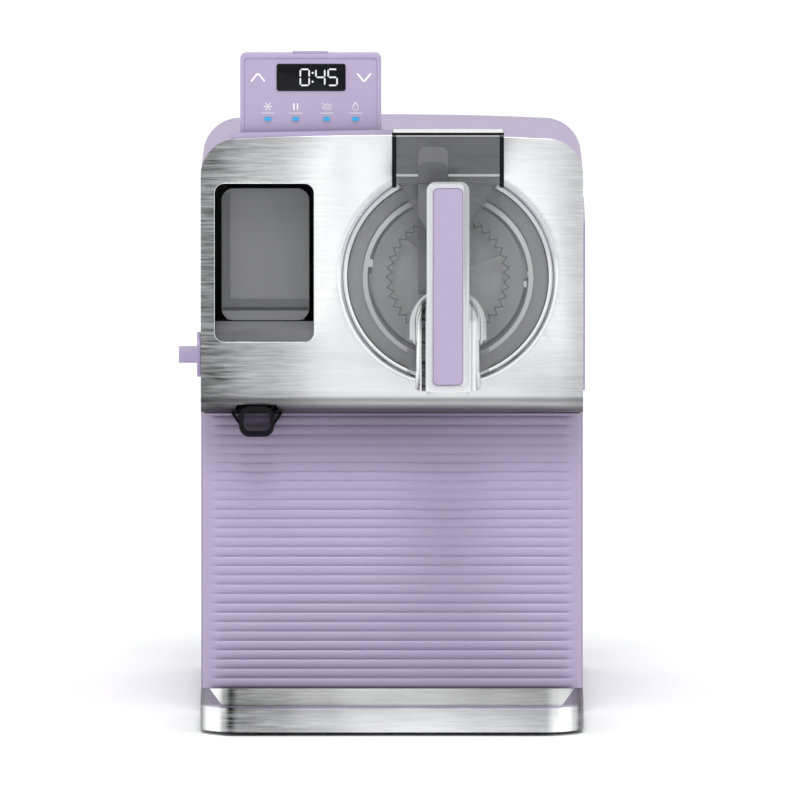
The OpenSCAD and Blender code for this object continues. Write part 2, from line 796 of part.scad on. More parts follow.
// two helical flights on a hollow core, and a toothed ring that rakes the front of the cylinder
module auger() {
    flight_r = cyl_r - 0.7;
    flight_t = 3;
    y0 = cyl_y0 - 4;
    y1 = cyl_y1 - 1.5;
    ring_teeth = 38;
    ring_y0 = cyl_y0 - 8.5;
    color("white") place() {
        translate([cyl_x, y1, cyl_z]) rotate([90, 0, 0])
            linear_extrude(y1 - y0, twist = 540, slices = 54, $fn = 8) difference() {
                union() {
                    translate([-flight_r, -flight_t / 2]) square([2 * flight_r, flight_t]);
                    circle(core_r, $fn = 12);
                }
                circle((shaft_r + 0.1) / cos(180 / 12), $fn = 12);
            }
        rod_y(cyl_x, cyl_z, core_r, ring_y0, y0 - 0.02);
        slab_y(ring_y0, ring_y0 + 4) translate([cyl_x, cyl_z]) difference() {
            zigzag(38.9, 37.4, ring_teeth);
            zigzag(35.2, 33.7, ring_teeth);
        }
        for (a = [20, 140, 260])
            translate([cyl_x, ring_y0 + 2, cyl_z]) rotate([0, -a, 0])
                block([core_r - 1, -1.5, -1.5], [36.5, 1.5, 1.5]);
    }
}

module zigzag(r1, r0, teeth) {
    polygon([for (i = [0 : 2 * teeth - 1])
        let (r = i % 2 == 0 ? r1 : r0, a = 180 * i / teeth)
        [r * cos(a), r * sin(a)]]);
}

module auger_shaft() {
    color("silver") place() rod_y(cyl_x, cyl_z, shaft_r, cyl_y0 - 3.9, gear_y0 + gear_w + 1);
}

module shaft_seal() {
    color("black") place() tube_y(cyl_x, cyl_z, seal_r - 0.02, shaft_r + run, cyl_y1 + 0.2, cyl_y1 + cyl_plate_t);
}

module rear_bearing() {
    color("silver") place() tube_y(cyl_x, cyl_z, bearing_r - 0.02, shaft_r + run, box_y0, box_y0 + box_t + 1);
}

module gearbox_outline(inset) {
    translate([cyl_x, cyl_z]) circle(gear_pitch_r + 8 - inset);
    translate([cyl_x, motor_z]) circle(20 - inset);
    translate([cyl_x - 20 + inset, motor_z]) square([40 - 2 * inset, cyl_z - motor_z]);
}

module gearbox_housing() {
    color("slategray") place() difference() {
        union() {
            slab_y(box_y0, box_y1) gearbox_outline(0);
            for (a = [45, 135, 225, 315])
                rod_y(cyl_x + 40 * cos(a), cyl_z + 40 * sin(a), 4, cyl_y1 + cyl_plate_t, box_y0 + 1);
        }
        slab_y(box_y0 + box_t, box_y1 + 1) gearbox_outline(3);
        rod_y(cyl_x, cyl_z, bearing_r, box_y0 - 1, box_y0 + box_t + 1);
    }
}

module gearbox_cover() {
    color("slategray") place() difference() {
        slab_y(box_y1, box_y1 + box_cover_t) gearbox_outline(0);
        rod_y(cyl_x, motor_z, motor_shaft_r + 1, box_y1 - 1, box_y1 + 10);
    }
}

// straight-flanked spur gear; a tooth points along +X of the outline
module gear_outline(teeth, pitch_r) {
    tip_r = pitch_r + 0.8 * gear_module;
    root_r = pitch_r - 1.15 * gear_module;
    step = 360 / teeth;
    polygon([for (i = [0 : teeth - 1])
        for (p = [[root_r, -0.26], [tip_r, -0.11], [tip_r, 0.11], [root_r, 0.26]])
            [p[0] * cos((i + p[1]) * step), p[0] * sin((i + p[1]) * step)]]);
}

module drive_gear() {
    color("ivory") place() difference() {
        slab_y(gear_y0, gear_y0 + gear_w) translate([cyl_x, cyl_z]) gear_outline(gear_teeth, gear_pitch_r);
        rod_y(cyl_x, cyl_z, shaft_r + 0.02, gear_y0 - 1, gear_y0 + gear_w + 1);
    }
}

module pinion() {
    half_tooth = 180 / pinion_teeth;
    color("goldenrod") place() {
        slab_y(gear_y0, gear_y0 + gear_w)
            translate([cyl_x, motor_z]) rotate(half_tooth) gear_outline(pinion_teeth, pinion_pitch_r);
        rod_y(cyl_x, motor_z, motor_shaft_r, gear_y0 + 1, box_y1 + box_cover_t + 12);
    }
}

module drive_motor() {
    motor_y0 = box_y1 + box_cover_t;
    color("gray") place() difference() {
        union() {
            rod_y(cyl_x, motor_z, 28, motor_y0 + 0.2, rear_y - 14);
            rod_y(cyl_x, motor_z, 8, rear_y - 15, rear_y - 9);
        }
        rod_y(cyl_x, motor_z, motor_shaft_r + run, motor_y0 - 1, motor_y0 + 14);
    }
}

// deck with two saddles for the cylinder and two uprights
module chassis_frame() {
    color("darkgray") place() difference() {
        union() {
            block([-110, 14, deck_z], [110, rear_y - 12, deck_z + deck_t]);
            for (side = [-1, 1])
                block([side * 109.2 - 0.8, 30, pan_z1], [side * 109.2 + 0.8, rear_y - 26, deck_z + 1]);
            for (y = [20, 130])
                slab_y(y, y + 2) difference() {
                    translate([cyl_x - 45, deck_z]) square([90, 40]);
                    translate([cyl_x, cyl_z]) circle(foam_r1 + 0.1);
                }
        }
        for (p = [[suction_x, comp_y], [drier_x, drier_y]])
            rod_z(p[0], p[1], 5, deck_z - 1, deck_z + deck_t + 1);
        block([cyl_x - 30, box_y1, deck_z - 1], [cyl_x + 30, rear_y - 12.5, deck_z + deck_t + 1]);
        block([rotor_x - 12, 13, deck_z - 1], [rotor_x + 12, 34, deck_z + deck_t + 1]);
    }
}

// ---- refrigeration ----

module compressor() {
    color("#303030") place() {
        translate([comp_x, comp_y, 0]) {
            rotate_extrude()
                polygon([[0, 16], [comp_r - 14, 16], [comp_r - 4, 24], [comp_r - 2, 70],
                         [comp_r, 71], [comp_r, 77], [comp_r - 2, 78], [comp_r - 5, 118],
                         [comp_r - 18, 134], [0, 138]]);
            difference() {
                block([-comp_foot - 5, -comp_foot - 5, comp_z0], [comp_foot + 5, comp_foot + 5, comp_z0 + 2.5]);
                for (x = [-comp_foot, comp_foot])
                    for (y = [-comp_foot, comp_foot])
                        rod_z(x, y, mount_r + 0.7, comp_z0 - 1, comp_z0 + 4);
            }
        }
        rod_z(suction_x, comp_y, tube_r + 0.8, 130, 148);
        rod_x(comp_y, 60, tube_r + 0.8, comp_x + comp_r - 8, comp_x + comp_r + 4);
    }
}

module compressor_mounts() {
    color("black") place()
        for (x = [comp_x - comp_foot, comp_x + comp_foot])
            for (y = [comp_y - comp_foot, comp_y + comp_foot]) {
                rod_z(x, y, 7, pan_z1, comp_z0);
                rod_z(x, y, mount_r + 0.5, comp_z0 - 1, comp_z0 + 5);
                rod_z(x, y, mount_r, foot_h + 0.2, pan_z1 + 1);
            }
}

module refrigerant_tubes() {
    coil_out = [cyl_x + coil_r * cos(200), cyl_y1 + 2 + tube_r, cyl_z + coil_r * sin(200)];
    coil_in = [cyl_x + coil_r * cos(160), cyl_y1 + 2 + tube_r, cyl_z + coil_r * sin(160)];
    color("chocolate") place() {
        tube_path([coil_out, [suction_x, coil_out[1], coil_out[2]], [suction_x, comp_y, 236],
                   [suction_x, comp_y, 148.1]], tube_r);
        tube_path([[-0.9, comp_y, 60], [5, comp_y, 60], [5, 219, 60], [11.9, 219, 60]], tube_r);
        tube_path([[11.9, 212, 30], [7, 212, 30], [7, drier_y, 30], [drier_x, drier_y, 30],
                   [drier_x, drier_y, 59.9]], tube_r);
        tube_path([[drier_x, drier_y, 128.1], [drier_x, drier_y, coil_in[2]],
                   [drier_x, coil_in[1], coil_in[2]], coil_in], 1.5);
        translate(coil_out) sphere(tube_r);
        translate(coil_in) sphere(tube_r);
    }
}

module filter_drier() {
    color("peru") place() translate([drier_x, drier_y, 0]) rotate_extrude()
        polygon([[0, 60], [3.5, 60], [3.5, 64], [8, 70], [8, 118], [3, 124], [3, 128], [0, 128]]);
}

module condenser() {
    fins = 19;
    color("darkgray") place() {
        for (i = [0 : fins - 1])
            block([cond_x0 + i * (cond_w - 0.8) / (fins - 1), cond_y0, cond_z0],
                  [cond_x0 + i * (cond_w - 0.8) / (fins - 1) + 0.8, cond_y0 + cond_d, cond_z0 + cond_h]);
        for (z = [30, 60, 90, 120, 142])
            for (y = [212, 219, 226])
                rod_x(y, z, tube_r, 12, cond_x0 + cond_w);
    }
}

module fan_shroud() {
    ring_y = 170;
    color("#202020") place() {
        difference() {
            block([cond_x0, shroud_y0, cond_z0], [cond_x0 + cond_w, shroud_y0 + shroud_t, cond_z0 + cond_h]);
            rod_y(fan_x, fan_z, fan_r + 2, shroud_y0 - 1, shroud_y0 + shroud_t + 1);
        }
        for (a = [45, 135, 225, 315])
            rod_y(fan_x + 44 * cos(a), fan_z + 44 * sin(a), 2.5, ring_y, shroud_y0 + 1);
        difference() {
            for (a = [45, 135])
                translate([fan_x, ring_y + 2, fan_z]) rotate([0, a, 0]) block([-46, -2, -2], [46, 2, 2]);
            rod_y(fan_x, fan_z, fan_motor_r + 0.1, ring_y - 5, ring_y + 13);
        }
        tube_y(fan_x, fan_z, fan_motor_r + 3, fan_motor_r + 0.02, ring_y, ring_y + 4);
    }
}

module fan_impeller() {
    blade_y = 190;
    color("#404040") place() {
        rod_y(fan_x, fan_z, 11, blade_y - 5, blade_y + 5);
        rod_y(fan_x, fan_z, 2, 178, blade_y);
        for (i = [0 : 4])
            translate([fan_x, blade_y, fan_z]) rotate([0, 72 * i, 0]) rotate([32, 0, 0])
                block([9, -0.8, -8], [fan_r - 4, 0.8, 8]);
    }
}

module fan_motor() {
    color("gray") place() difference() {
        rod_y(fan_x, fan_z, fan_motor_r, 162, 182);
        rod_y(fan_x, fan_z, 2 + run, 176, 183);
    }
}

// ---- electrics ----

module main_board() {
    z0 = deck_z + deck_t;
    color("darkgreen") place() {
        block([-104, 168, z0 + 6], [-52, 228, z0 + 7.6]);
        for (x = [-100, -56])
            for (y = [172, 224])
                rod_z(x, y, 2.5, z0, z0 + 6.5);
        block([-98, 180, z0 + 7], [-80, 202, z0 + 26]);
        block([-74, 184, z0 + 7], [-60, 196, z0 + 22]);
        rod_z(-68, 212, 6, z0 + 7, z0 + 30);
    }
}

module wiring_harness() {
    z0 = deck_z + deck_t + 7.7;
    color("black") place() {
        tube_path([[-76, 208, z0], [-76, 208, 342], [-76, 40, 342], [-76, 40, 348.9]], 1.8);
        tube_path([[-60, 220, z0], [-60, 220, 222], [-20, 220, 222], [cyl_x - 28.3, 220, 222]], 1.8);
    }
}

module panel_shell() {
    back_t = 2;
    neck_x0 = panel_x0 + 6;
    neck_x1 = panel_x1 - 6;
    color("#bdb0d0") place() difference() {
        union() {
            slab_y(panel_y0 + 2.2, panel_y1)
                round_rect(panel_x0, panel_base, panel_x1, panel_top, 3.7);
            block([-61.2, panel_y0 + 2.2, panel_top - 1], [-39.6, panel_y1, panel_top + 0.9]);
            rod_x(panel_hinge_y, panel_hinge_z, hinge_r, neck_x0, neck_x1);
            block([neck_x0, panel_hinge_y - hinge_r, panel_hinge_z],
                  [neck_x1, panel_hinge_y + 3, panel_base + 1]);
        }
        slab_y(panel_y0, panel_y1 - back_t)
            round_rect(panel_x0 + 2, panel_base + 2, panel_x1 - 2, panel_top - 2, 2.5);
        rod_x(panel_hinge_y, panel_hinge_z, hinge_pin_r + run, neck_x0 - 1, neck_x1 + 1);
    }
}

module panel_face() {
    color("#c4b8d8") place() difference() {
        slab_y(panel_y0, panel_y0 + 2.1)
            round_rect(panel_x0, panel_base, panel_x1, panel_top, 3.7);
        slab_y(panel_y0 - 1, panel_y0 + 5)
            round_rect(display_x0 - 0.1, display_z0 - 0.1, display_x0 + display_w + 0.1,
                       display_z0 + display_h + 0.1, 1.6);
        for (x = led_x)
            block([x - 2, panel_y0 - 1, led_z - 1.3], [x + 2, panel_y0 + 5, led_z + 1.3]);
    }
}

module display_window() {
    color("black") place() slab_y(panel_y0 + 0.2, panel_y0 + 2.1)
        round_rect(display_x0, display_z0, display_x0 + display_w, display_z0 + display_h, 1.5);
}

module panel_board() {
    color("darkgreen") place() {
        block([panel_x0 + 3, panel_y0 + 4, panel_base + 3], [panel_x1 - 3, panel_y0 + 5.6, panel_top - 3]);
        block([display_x0 + 2, panel_y0 + 2.3, display_z0 + 1],
              [display_x0 + display_w - 2, panel_y0 + 5, display_z0 + display_h - 1]);
        for (x = led_x)
            block([x - 1.9, panel_y0 + 0.2, led_z - 1.2], [x + 1.9, panel_y0 + 5, led_z + 1.2]);
    }
}

module panel_hinge_pin() {
    color("silver") place()
        rod_x(panel_hinge_y, panel_hinge_z, hinge_pin_r - 0.02, pocket_x0 - 1.4, pocket_x1 + 1.4);
}

// ---- topping dispenser ----

// tub behind the head panel, with a sloping ledge for the fingertips
module recess_liner() {
    ledge_y = -9.9;
    color("gray") place() {
        difference() {
            slab_y(front_y + steel_t, liner_y1)
                round_rect(recess_x0 - liner_t, recess_z0 - liner_t, recess_x1 + liner_t,
                           recess_z1 + liner_t, recess_r + liner_t);
            slab_y(front_y, liner_y1 - liner_t)
                round_rect(recess_x0, recess_z0, recess_x1, recess_z1, recess_r);
            block([rotor_x - 17, 3.4, recess_z0 - 3], [rotor_x + 17, 36.6, recess_z0 + 3]);
        }
        difference() {
            slab_x(recess_x0, recess_x1)
                polygon([[front_y + steel_t, recess_z0], [ledge_y, bin_z0 - 0.6], [ledge_y, recess_z0]]);
            slab_y(front_y, 0) difference() {
                translate([recess_x0 - 5, recess_z0 - 5]) square([recess_w + 10, 30]);
                round_rect(recess_x0, recess_z0, recess_x1, recess_z1, recess_r);
            }
        }
        for (x = [bin_x0 + 8, bin_x1 - 8])
            block([x - 2, 40, recess_z0 - eps], [x + 2, liner_y1 - liner_t, bin_z0 - 0.3]);
    }
}

module topping_bin() {
    t = 2;
    color("dimgray") place() difference() {
        union() {
            slab_y(bin_y0, bin_y0 + 2.5) round_rect(bin_x0, bin_z0, bin_x1, bin_z1, 7.4);
            block([bin_x0 + 3, bin_y0 + 2, bin_z0], [bin_x1 - 3, bin_y1, bin_z1 - 8]);
        }
        block([bin_x0 + 3 + t, bin_y0 + 2.5, bin_z0 + t], [bin_x1 - 3 - t, bin_y1 - t, bin_z1 + 1]);
        block([rotor_x - 14, rotor_y - 11, bin_z0 - 1], [rotor_x + 14, rotor_y + 11, bin_z0 + 5]);
    }
}

module rotor_housing() {
    half_x = 16.5;
    half_y = 16;
    color("gainsboro") place() difference() {
        block([rotor_x - half_x, rotor_y - half_y, 205.4], [rotor_x + half_x, rotor_y + half_y, bin_z0 - 0.4]);
        rod_x(rotor_y, rotor_z, rotor_r + 0.4, rotor_x - rotor_l / 2 - 0.3, rotor_x + rotor_l / 2 + 0.3);
        block([rotor_x - 14, rotor_y - 11, rotor_z], [rotor_x + 14, rotor_y + 11, bin_z0 + 1]);
        block([rotor_x - 7.8, rotor_y - 11, 205], [rotor_x + 7.8, rotor_y + 6, rotor_z]);
        rod_x(rotor_y, rotor_z, rotor_shaft_r + run, rotor_x - half_x - 1, rotor_x);
    }
}

module topping_rotor() {
    vanes = 6;
    color("white") place() {
        slab_x(rotor_x - rotor_l / 2, rotor_x + rotor_l / 2) translate([rotor_y, rotor_z]) {
            circle(5);
            for (i = [0 : vanes / 2 - 1])
                rotate(60 * i) translate([-rotor_r, -1]) square([2 * rotor_r, 2]);
        }
        rod_x(rotor_y, rotor_z, rotor_shaft_r, -half_w - 4, rotor_x - rotor_l / 2 + 1);
    }
}

module topping_knob() {
    disc_t = 2.2;
    bar_half = 3.95;
    color("#bdb0d0") place() difference() {
        union() {
            rod_x(rotor_y, rotor_z, knob_r, -half_w - gap - disc_t, -half_w - gap);
            block([-half_w - knob_out, rotor_y - knob_r + 2, rotor_z - bar_half],
                  [-half_w - gap - 1, rotor_y + knob_r - 2, rotor_z + bar_half]);
        }
        rod_x(rotor_y, rotor_z, rotor_shaft_r + 0.02, -half_w - 4.1, -half_w);
    }
}

// hooped trough under the head with a thin flare behind it, fed by a slide from the rotor
module topping_chute() {
    half_out = chute_w / 2;
    half_top = 15.6;
    side_t = 2.7;
    bottom_t = 1.5;
    z1 = head_bottom - 0.3;
    flare_z = 181.5;
    flare_t = 1;
    color("#202022") place() translate([rotor_x, 0, 0]) {
        slab_y(-20, -16) difference() {
            round_rect(-half_out, chute_z0, half_out, 194.8, 6.4);
            round_rect(-half_out + side_t, chute_z0 + bottom_t, half_out - side_t, 191.6, 3.9);
            translate([-half_out, 188]) square([0.4, 8]);
            translate([half_out - 0.4, 188]) square([0.4, 8]);
        }
        slab_y(-16 - eps, -1.2) difference() {
            round_rect(-half_out, chute_z0, half_out, z1 + 7, 6.4);
            round_rect(-half_out + side_t, chute_z0 + bottom_t, half_out - side_t, 200, 3.9);
            translate([-half_out - 1, z1]) square([chute_w + 2, 20]);
        }
        for (side = [-1, 1])
            slab_y(-14, -1.2)
                polygon([[side * (half_out - 0.5), flare_z], [side * half_top, z1],
                         [side * (half_top - 1.4 * flare_t), z1],
                         [side * (half_out - 0.5), flare_z + 1.8 * flare_t]]);
        slab_x(-half_out, half_out)
            polygon([[-1.3, 189.5], [31, 203.4], [31, 205.2], [-1.3, 191.4]]);
        for (side = [-1, 1])
            slab_x(side * (half_out - 1) - 1, side * (half_out - 1) + 1)
                polygon([[-1.3, 188], [-0.95, 188], [-0.95, 189.65], [31, 203.4], [31, 205.2],
                         [4, 205.2], [-1.3, 197]]);
    }
}

// ---- outside details ----

module side_vent() {
    louvres = 20;
    pitch = (vent_y1 - vent_y0 - 16) / louvres;
    color("#c4b8d8") place() difference() {
        block([half_w, vent_y0, vent_z0], [half_w + vent_t, vent_y1, vent_z1]);
        for (i = [0 : louvres - 1])
            block([half_w - 1, vent_y0 + 9 + i * pitch, vent_z0 + 8],
                  [half_w + 3, vent_y0 + 9 + i * pitch + 3, vent_z1 - 8]);
    }
}

module power_inlet() {
    depth = 22;
    color("#181818") place() {
        difference() {
            block([mains_x - 14, rear_y - depth, mains_z - 10], [mains_x + 14, rear_y, mains_z + 10]);
            block([mains_x - 11.5, rear_y - depth + 5, mains_z - 7.5],
                  [mains_x + 11.5, rear_y + 1, mains_z + 7.5]);
        }
        for (p = [[-7, -2], [0, 2], [7, -2]])
            block([mains_x + p[0] - 1, rear_y - depth + 4, mains_z + p[1] - 2],
                  [mains_x + p[0] + 1, rear_y - 7, mains_z + p[1] + 2]);
    }
}

module cover_screws() {
    color("silver") place()
        for (side = [-1, 1])
            for (z = screw_heights) {
                rod_y(side * screw_x, z, screw_r, rear_y - wall - 8, rear_y - 1);
                rod_y(side * screw_x, z, 3, rear_y - 1.45, rear_y - 0.1);
            }
}

base_pan();
rubber_feet();
drip_tray();
column_front();
left_side_shell();
right_side_shell();
rear_cover();
top_cover();
front_panel();
bezel_ring();
front_cover();
hopper();
hopper_lid();
hopper_lid_pin();
cover_seals();
spout_collar();
spout_barrel();
star_nozzle();
plunger();
plunger_seal();
lever_frame();
lever_inlay();
lever_pin();
freezing_cylinder();
evaporator_coil();
insulation_jacket();
auger();
auger_shaft();
shaft_seal();
rear_bearing();
gearbox_housing();
gearbox_cover();
drive_gear();
pinion();
drive_motor();
chassis_frame();
compressor();
compressor_mounts();
refrigerant_tubes();
filter_drier();
condenser();
fan_shroud();
fan_impeller();
fan_motor();
main_board();
wiring_harness();
panel_shell();
panel_face();
display_window();
panel_board();
panel_hinge_pin();
recess_liner();
topping_bin();
rotor_housing();
topping_rotor();
topping_knob();
topping_chute();
side_vent();
power_inlet();
cover_screws();
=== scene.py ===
"""Looks of a counter-top soft-serve ice cream maker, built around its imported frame.

Lengths are in metres. The frame stands on the floor at z = 0 and its front faces -Y.
"""

import json
import logging
import math
from dataclasses import dataclass, field
from enum import Enum
from typing import Callable, Iterable, Sequence

import bmesh
import bpy
from mathutils import Euler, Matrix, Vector

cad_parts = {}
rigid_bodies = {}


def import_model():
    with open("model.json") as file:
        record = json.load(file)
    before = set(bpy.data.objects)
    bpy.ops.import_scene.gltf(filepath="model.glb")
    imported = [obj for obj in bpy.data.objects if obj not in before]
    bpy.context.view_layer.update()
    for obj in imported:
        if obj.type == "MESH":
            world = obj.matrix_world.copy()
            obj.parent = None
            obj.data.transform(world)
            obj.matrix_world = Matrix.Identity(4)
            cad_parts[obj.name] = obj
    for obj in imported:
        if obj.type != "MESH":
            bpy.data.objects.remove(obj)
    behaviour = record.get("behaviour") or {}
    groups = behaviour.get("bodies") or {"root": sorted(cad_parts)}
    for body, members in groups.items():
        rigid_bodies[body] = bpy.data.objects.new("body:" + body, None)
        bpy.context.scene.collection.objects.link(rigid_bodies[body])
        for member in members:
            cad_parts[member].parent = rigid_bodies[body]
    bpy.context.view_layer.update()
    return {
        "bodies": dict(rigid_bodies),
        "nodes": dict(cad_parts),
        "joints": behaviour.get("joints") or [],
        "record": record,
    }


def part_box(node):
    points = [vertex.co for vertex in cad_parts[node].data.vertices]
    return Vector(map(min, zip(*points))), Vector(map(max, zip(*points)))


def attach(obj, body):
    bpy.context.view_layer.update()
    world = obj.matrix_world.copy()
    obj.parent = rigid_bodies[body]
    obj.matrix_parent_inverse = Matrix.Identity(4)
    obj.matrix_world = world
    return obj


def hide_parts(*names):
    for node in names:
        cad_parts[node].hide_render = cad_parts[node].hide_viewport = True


log = logging.getLogger("ice_cream_maker")
MM = 0.001
WELD = 1e-6
Point2 = tuple[float, float]
Colour = tuple[float, float, float]
BLACK: Colour = (0.0, 0.0, 0.0)
WHITE: Colour = (1.0, 1.0, 1.0)


# ---------------------------------------------------------------- shader maths


class Wire:
    """An output socket whose arithmetic adds Math nodes to its node tree."""

    def __init__(self, tree: bpy.types.NodeTree, socket: bpy.types.NodeSocket) -> None:
        """Wraps a socket.

        Args:
            tree: node tree that the socket belongs to.
            socket: output socket that carries the value.
        """
        self.tree = tree
        self.socket = socket

    def _math(self, operation: str, left: "Wire | float", right: "Wire | float") -> "Wire":
        """Adds one Math node.

        Args:
            operation: name of the Math node's operation.
            left: first value.
            right: second value.

        Returns:
            The node's result.
        """
        node = self.tree.nodes.new("ShaderNodeMath")
        node.operation = operation
        for slot, value in zip(node.inputs, (left, right)):
            if isinstance(value, Wire):
                self.tree.links.new(value.socket, slot)
            else:
                slot.default_value = float(value)
        return Wire(self.tree, node.outputs[0])

    def __add__(self, other: "Wire | float") -> "Wire":
        """Sum of the two values."""
        return self._math("ADD", self, other)

    __radd__ = __add__

    def __mul__(self, other: "Wire | float") -> "Wire":
        """Product of the two values."""
        return self._math("MULTIPLY", self, other)

    __rmul__ = __mul__

    def __sub__(self, other: "Wire | float") -> "Wire":
        """Difference of the two values."""
        return self._math("SUBTRACT", self, other)

    def __rsub__(self, other: float) -> "Wire":
        """Difference with the plain number first."""
        return self._math("SUBTRACT", other, self)

    def __gt__(self, other: "Wire | float") -> "Wire":
        """One where this value is the larger, otherwise zero."""
        return self._math("GREATER_THAN", self, other)


class Recipe:
    """One material's node tree, with its Principled shader and output in place."""

    def __init__(self, name: str) -> None:
        """Starts an empty material.

        Args:
            name: name of the material.
        """
        self.material = bpy.data.materials.new(name)
        self.material.use_nodes = True
        self.tree = self.material.node_tree
        self.tree.nodes.clear()
        self.shader = self.tree.nodes.new("ShaderNodeBsdfPrincipled")
        output = self.tree.nodes.new("ShaderNodeOutputMaterial")
        self.tree.links.new(self.shader.outputs[0], output.inputs["Surface"])

    def node(self, kind: str, settings: dict | None = None, output: int | str = 0, **inputs) -> Wire:
        """Adds any node.

        Args:
            kind: node type without its ShaderNode prefix.
            settings: attributes that are set before the sockets.
            output: index or name of the output socket that is returned.
            **inputs: socket names, with underscores for spaces, and their values or wires.

        Returns:
            The chosen output.
        """
        made = self.tree.nodes.new("ShaderNode" + kind)
        for key, value in (settings or {}).items():
            setattr(made, key, value)
        for key, value in inputs.items():
            slot = made.inputs[key.replace("_", " ")]
            if isinstance(value, Wire):
                self.tree.links.new(value.socket, slot)
            else:
                slot.default_value = value
        return Wire(self.tree, made.outputs[output])

    def place(self, scale: Sequence[float] = (1.0, 1.0, 1.0)) -> Wire:
        """Object coordinates stretched along each axis.

        Args:
            scale: factor along X, Y and Z.

        Returns:
            The coordinates.
        """
        where = self.node("TexCoord", output="Object")
        return self.node("Mapping", Vector=where, Scale=tuple(scale))

    def noise(self, scale: float, stretch: Sequence[float] = (1, 1, 1), detail: float = 3.0) -> Wire:
        """Noise over the piece, from 0 to 1.

        Args:
            scale: noise cells per metre.
            stretch: factor along X, Y and Z.
            detail: number of octaves.

        Returns:
            The noise value.
        """
        return self.node("TexNoise", Vector=self.place(stretch), Scale=scale, Detail=detail)

    def along(self, axis: str, start: float, end: float) -> Wire:
        """Share of the way between two positions along an axis.

        Args:
            axis: X, Y or Z.
            start: position that gives 0.
            end: position that gives 1.

        Returns:
            The share, beyond 0 and 1 outside the two positions.
        """
        where = self.node("SeparateXYZ", output=axis, Vector=self.place())
        return (where - start) * (1.0 / (end - start))

    def ramp(self, factor: Wire, stops: Sequence[Point2]) -> Wire:
        """Bends a value through a row of stops.

        Args:
            factor: value from 0 to 1.
            stops: position and brightness of each stop.

        Returns:
            The brightness at the factor.
        """
        made = self.tree.nodes.new("ShaderNodeValToRGB")
        elements = made.color_ramp.elements
        made.color_ramp.interpolation = "EASE"
        while len(elements) < len(stops):
            elements.new(0.5)
        for element, (position, value) in zip(elements, stops):
            element.position = position
            element.color = (value, value, value, 1.0)
        self.tree.links.new(factor.socket, made.inputs[0])
        return Wire(self.tree, made.outputs[0])

    def blend(self, factor: Wire, low: Colour, high: "Colour | Wire") -> Wire:
        """Mixes two colours.

        Args:
            factor: share of the second colour.
            low: first colour.
            high: second colour, which may vary over the piece.

        Returns:
            The mixed colour.
        """
        made = self.tree.nodes.new("ShaderNodeMix")
        made.data_type = "RGBA"
        self.tree.links.new(factor.socket, made.inputs[0])
        first, second = (slot for slot in made.inputs if slot.type == "RGBA")
        first.default_value = (*low, 1.0)
        if isinstance(high, Wire):
            self.tree.links.new(high.socket, second)
        else:
            second.default_value = (*high, 1.0)
        return Wire(self.tree, next(slot for slot in made.outputs if slot.type == "RGBA"))

    def set(self, **sockets) -> None:
        """Sets or links sockets of the Principled shader.

        Args:
            **sockets: socket names, with underscores for spaces, and their values or wires.
        """
        for key, value in sockets.items():
            slot = self.shader.inputs[key.replace("_", " ")]
            if isinstance(value, Wire):
                self.tree.links.new(value.socket, slot)
            elif isinstance(value, tuple) and len(value) == 3:
                slot.default_value = (*value, 1.0)
            else:
                slot.default_value = value

    def bump(self, height: Wire, distance: float, strength: float = 1.0) -> None:
        """Links a bump to the shader's normal.

        Args:
            height: height from 0 to 1.
            distance: depth of the relief in metres.
            strength: share of the relief that shows.
        """
        self.set(Normal=self.node("Bump", Height=height, Distance=distance, Strength=strength))


# ---------------------------------------------------------------- finishes


def shade(colour: Colour, factor: float) -> Colour:
    """Darkens or lightens a colour.

    Args:
        colour: colour to change.
        factor: factor on each channel, which stops at 1.

    Returns:
        The changed colour.
    """
    return tuple(min(1.0, channel * factor) for channel in colour)


@dataclass(frozen=True)
class Moulded:
    """Satin injection-moulded plastic with a fine spark-eroded grain."""

    name: str
    colour: Colour
    roughness: float = 0.42
    grain: float = 0.00004
    grain_scale: float = 2600.0
    coat: float = 0.0

    def tone(self, recipe: Recipe) -> Wire:
        """Mottles the colour slightly.

        Args:
            recipe: material that takes the nodes.

        Returns:
            The colour over the piece.
        """
        return recipe.blend(recipe.noise(9.0), shade(self.colour, 0.955), shade(self.colour, 1.03))

    def make(self) -> bpy.types.Material:
        """Builds the material."""
        recipe = Recipe(self.name)
        grain = recipe.noise(self.grain_scale, detail=2.0)
        wear = recipe.noise(70.0, detail=4.0)
        recipe.set(
            Base_Color=self.tone(recipe),
            Roughness=wear * 0.1 + grain * 0.06 + (self.roughness - 0.08),
            Coat_Weight=self.coat,
        )
        recipe.bump(grain, self.grain)
        return recipe.material


@dataclass(frozen=True)
class PaintedShadeShell(Moulded):
    """Moulded shell with painted shade under an overhang: its colour darkens towards the overhang, most
    in its middle.
    """

    low: float = 0.0
    high: float = 1.0
    left: float = 0.0
    right: float = 1.0
    shade_by_height: tuple[Point2, ...] = ((0.0, 1.0), (0.36, 0.82), (0.72, 0.6), (1.0, 0.5))
    across: tuple[Point2, ...] = ((0.0, 0.5), (0.5, 1.0), (1.0, 0.5))

    def tone(self, recipe: Recipe) -> Wire:
        """Paints shade on the mottled colour, darker towards the overhang and towards the middle.

        Args:
            recipe: material that takes the nodes.

        Returns:
            The colour over the piece.
        """
        # painted shade: the colour darkens up towards the overhang and in towards the middle of the width
        shade_by_height = recipe.ramp(recipe.along("Z", self.low, self.high), self.shade_by_height)
        middle = recipe.ramp(recipe.along("X", self.left, self.right), self.across)
        painted_shading = 1.0 - (1.0 - shade_by_height) * middle
        return recipe.blend(painted_shading, BLACK, super().tone(recipe))


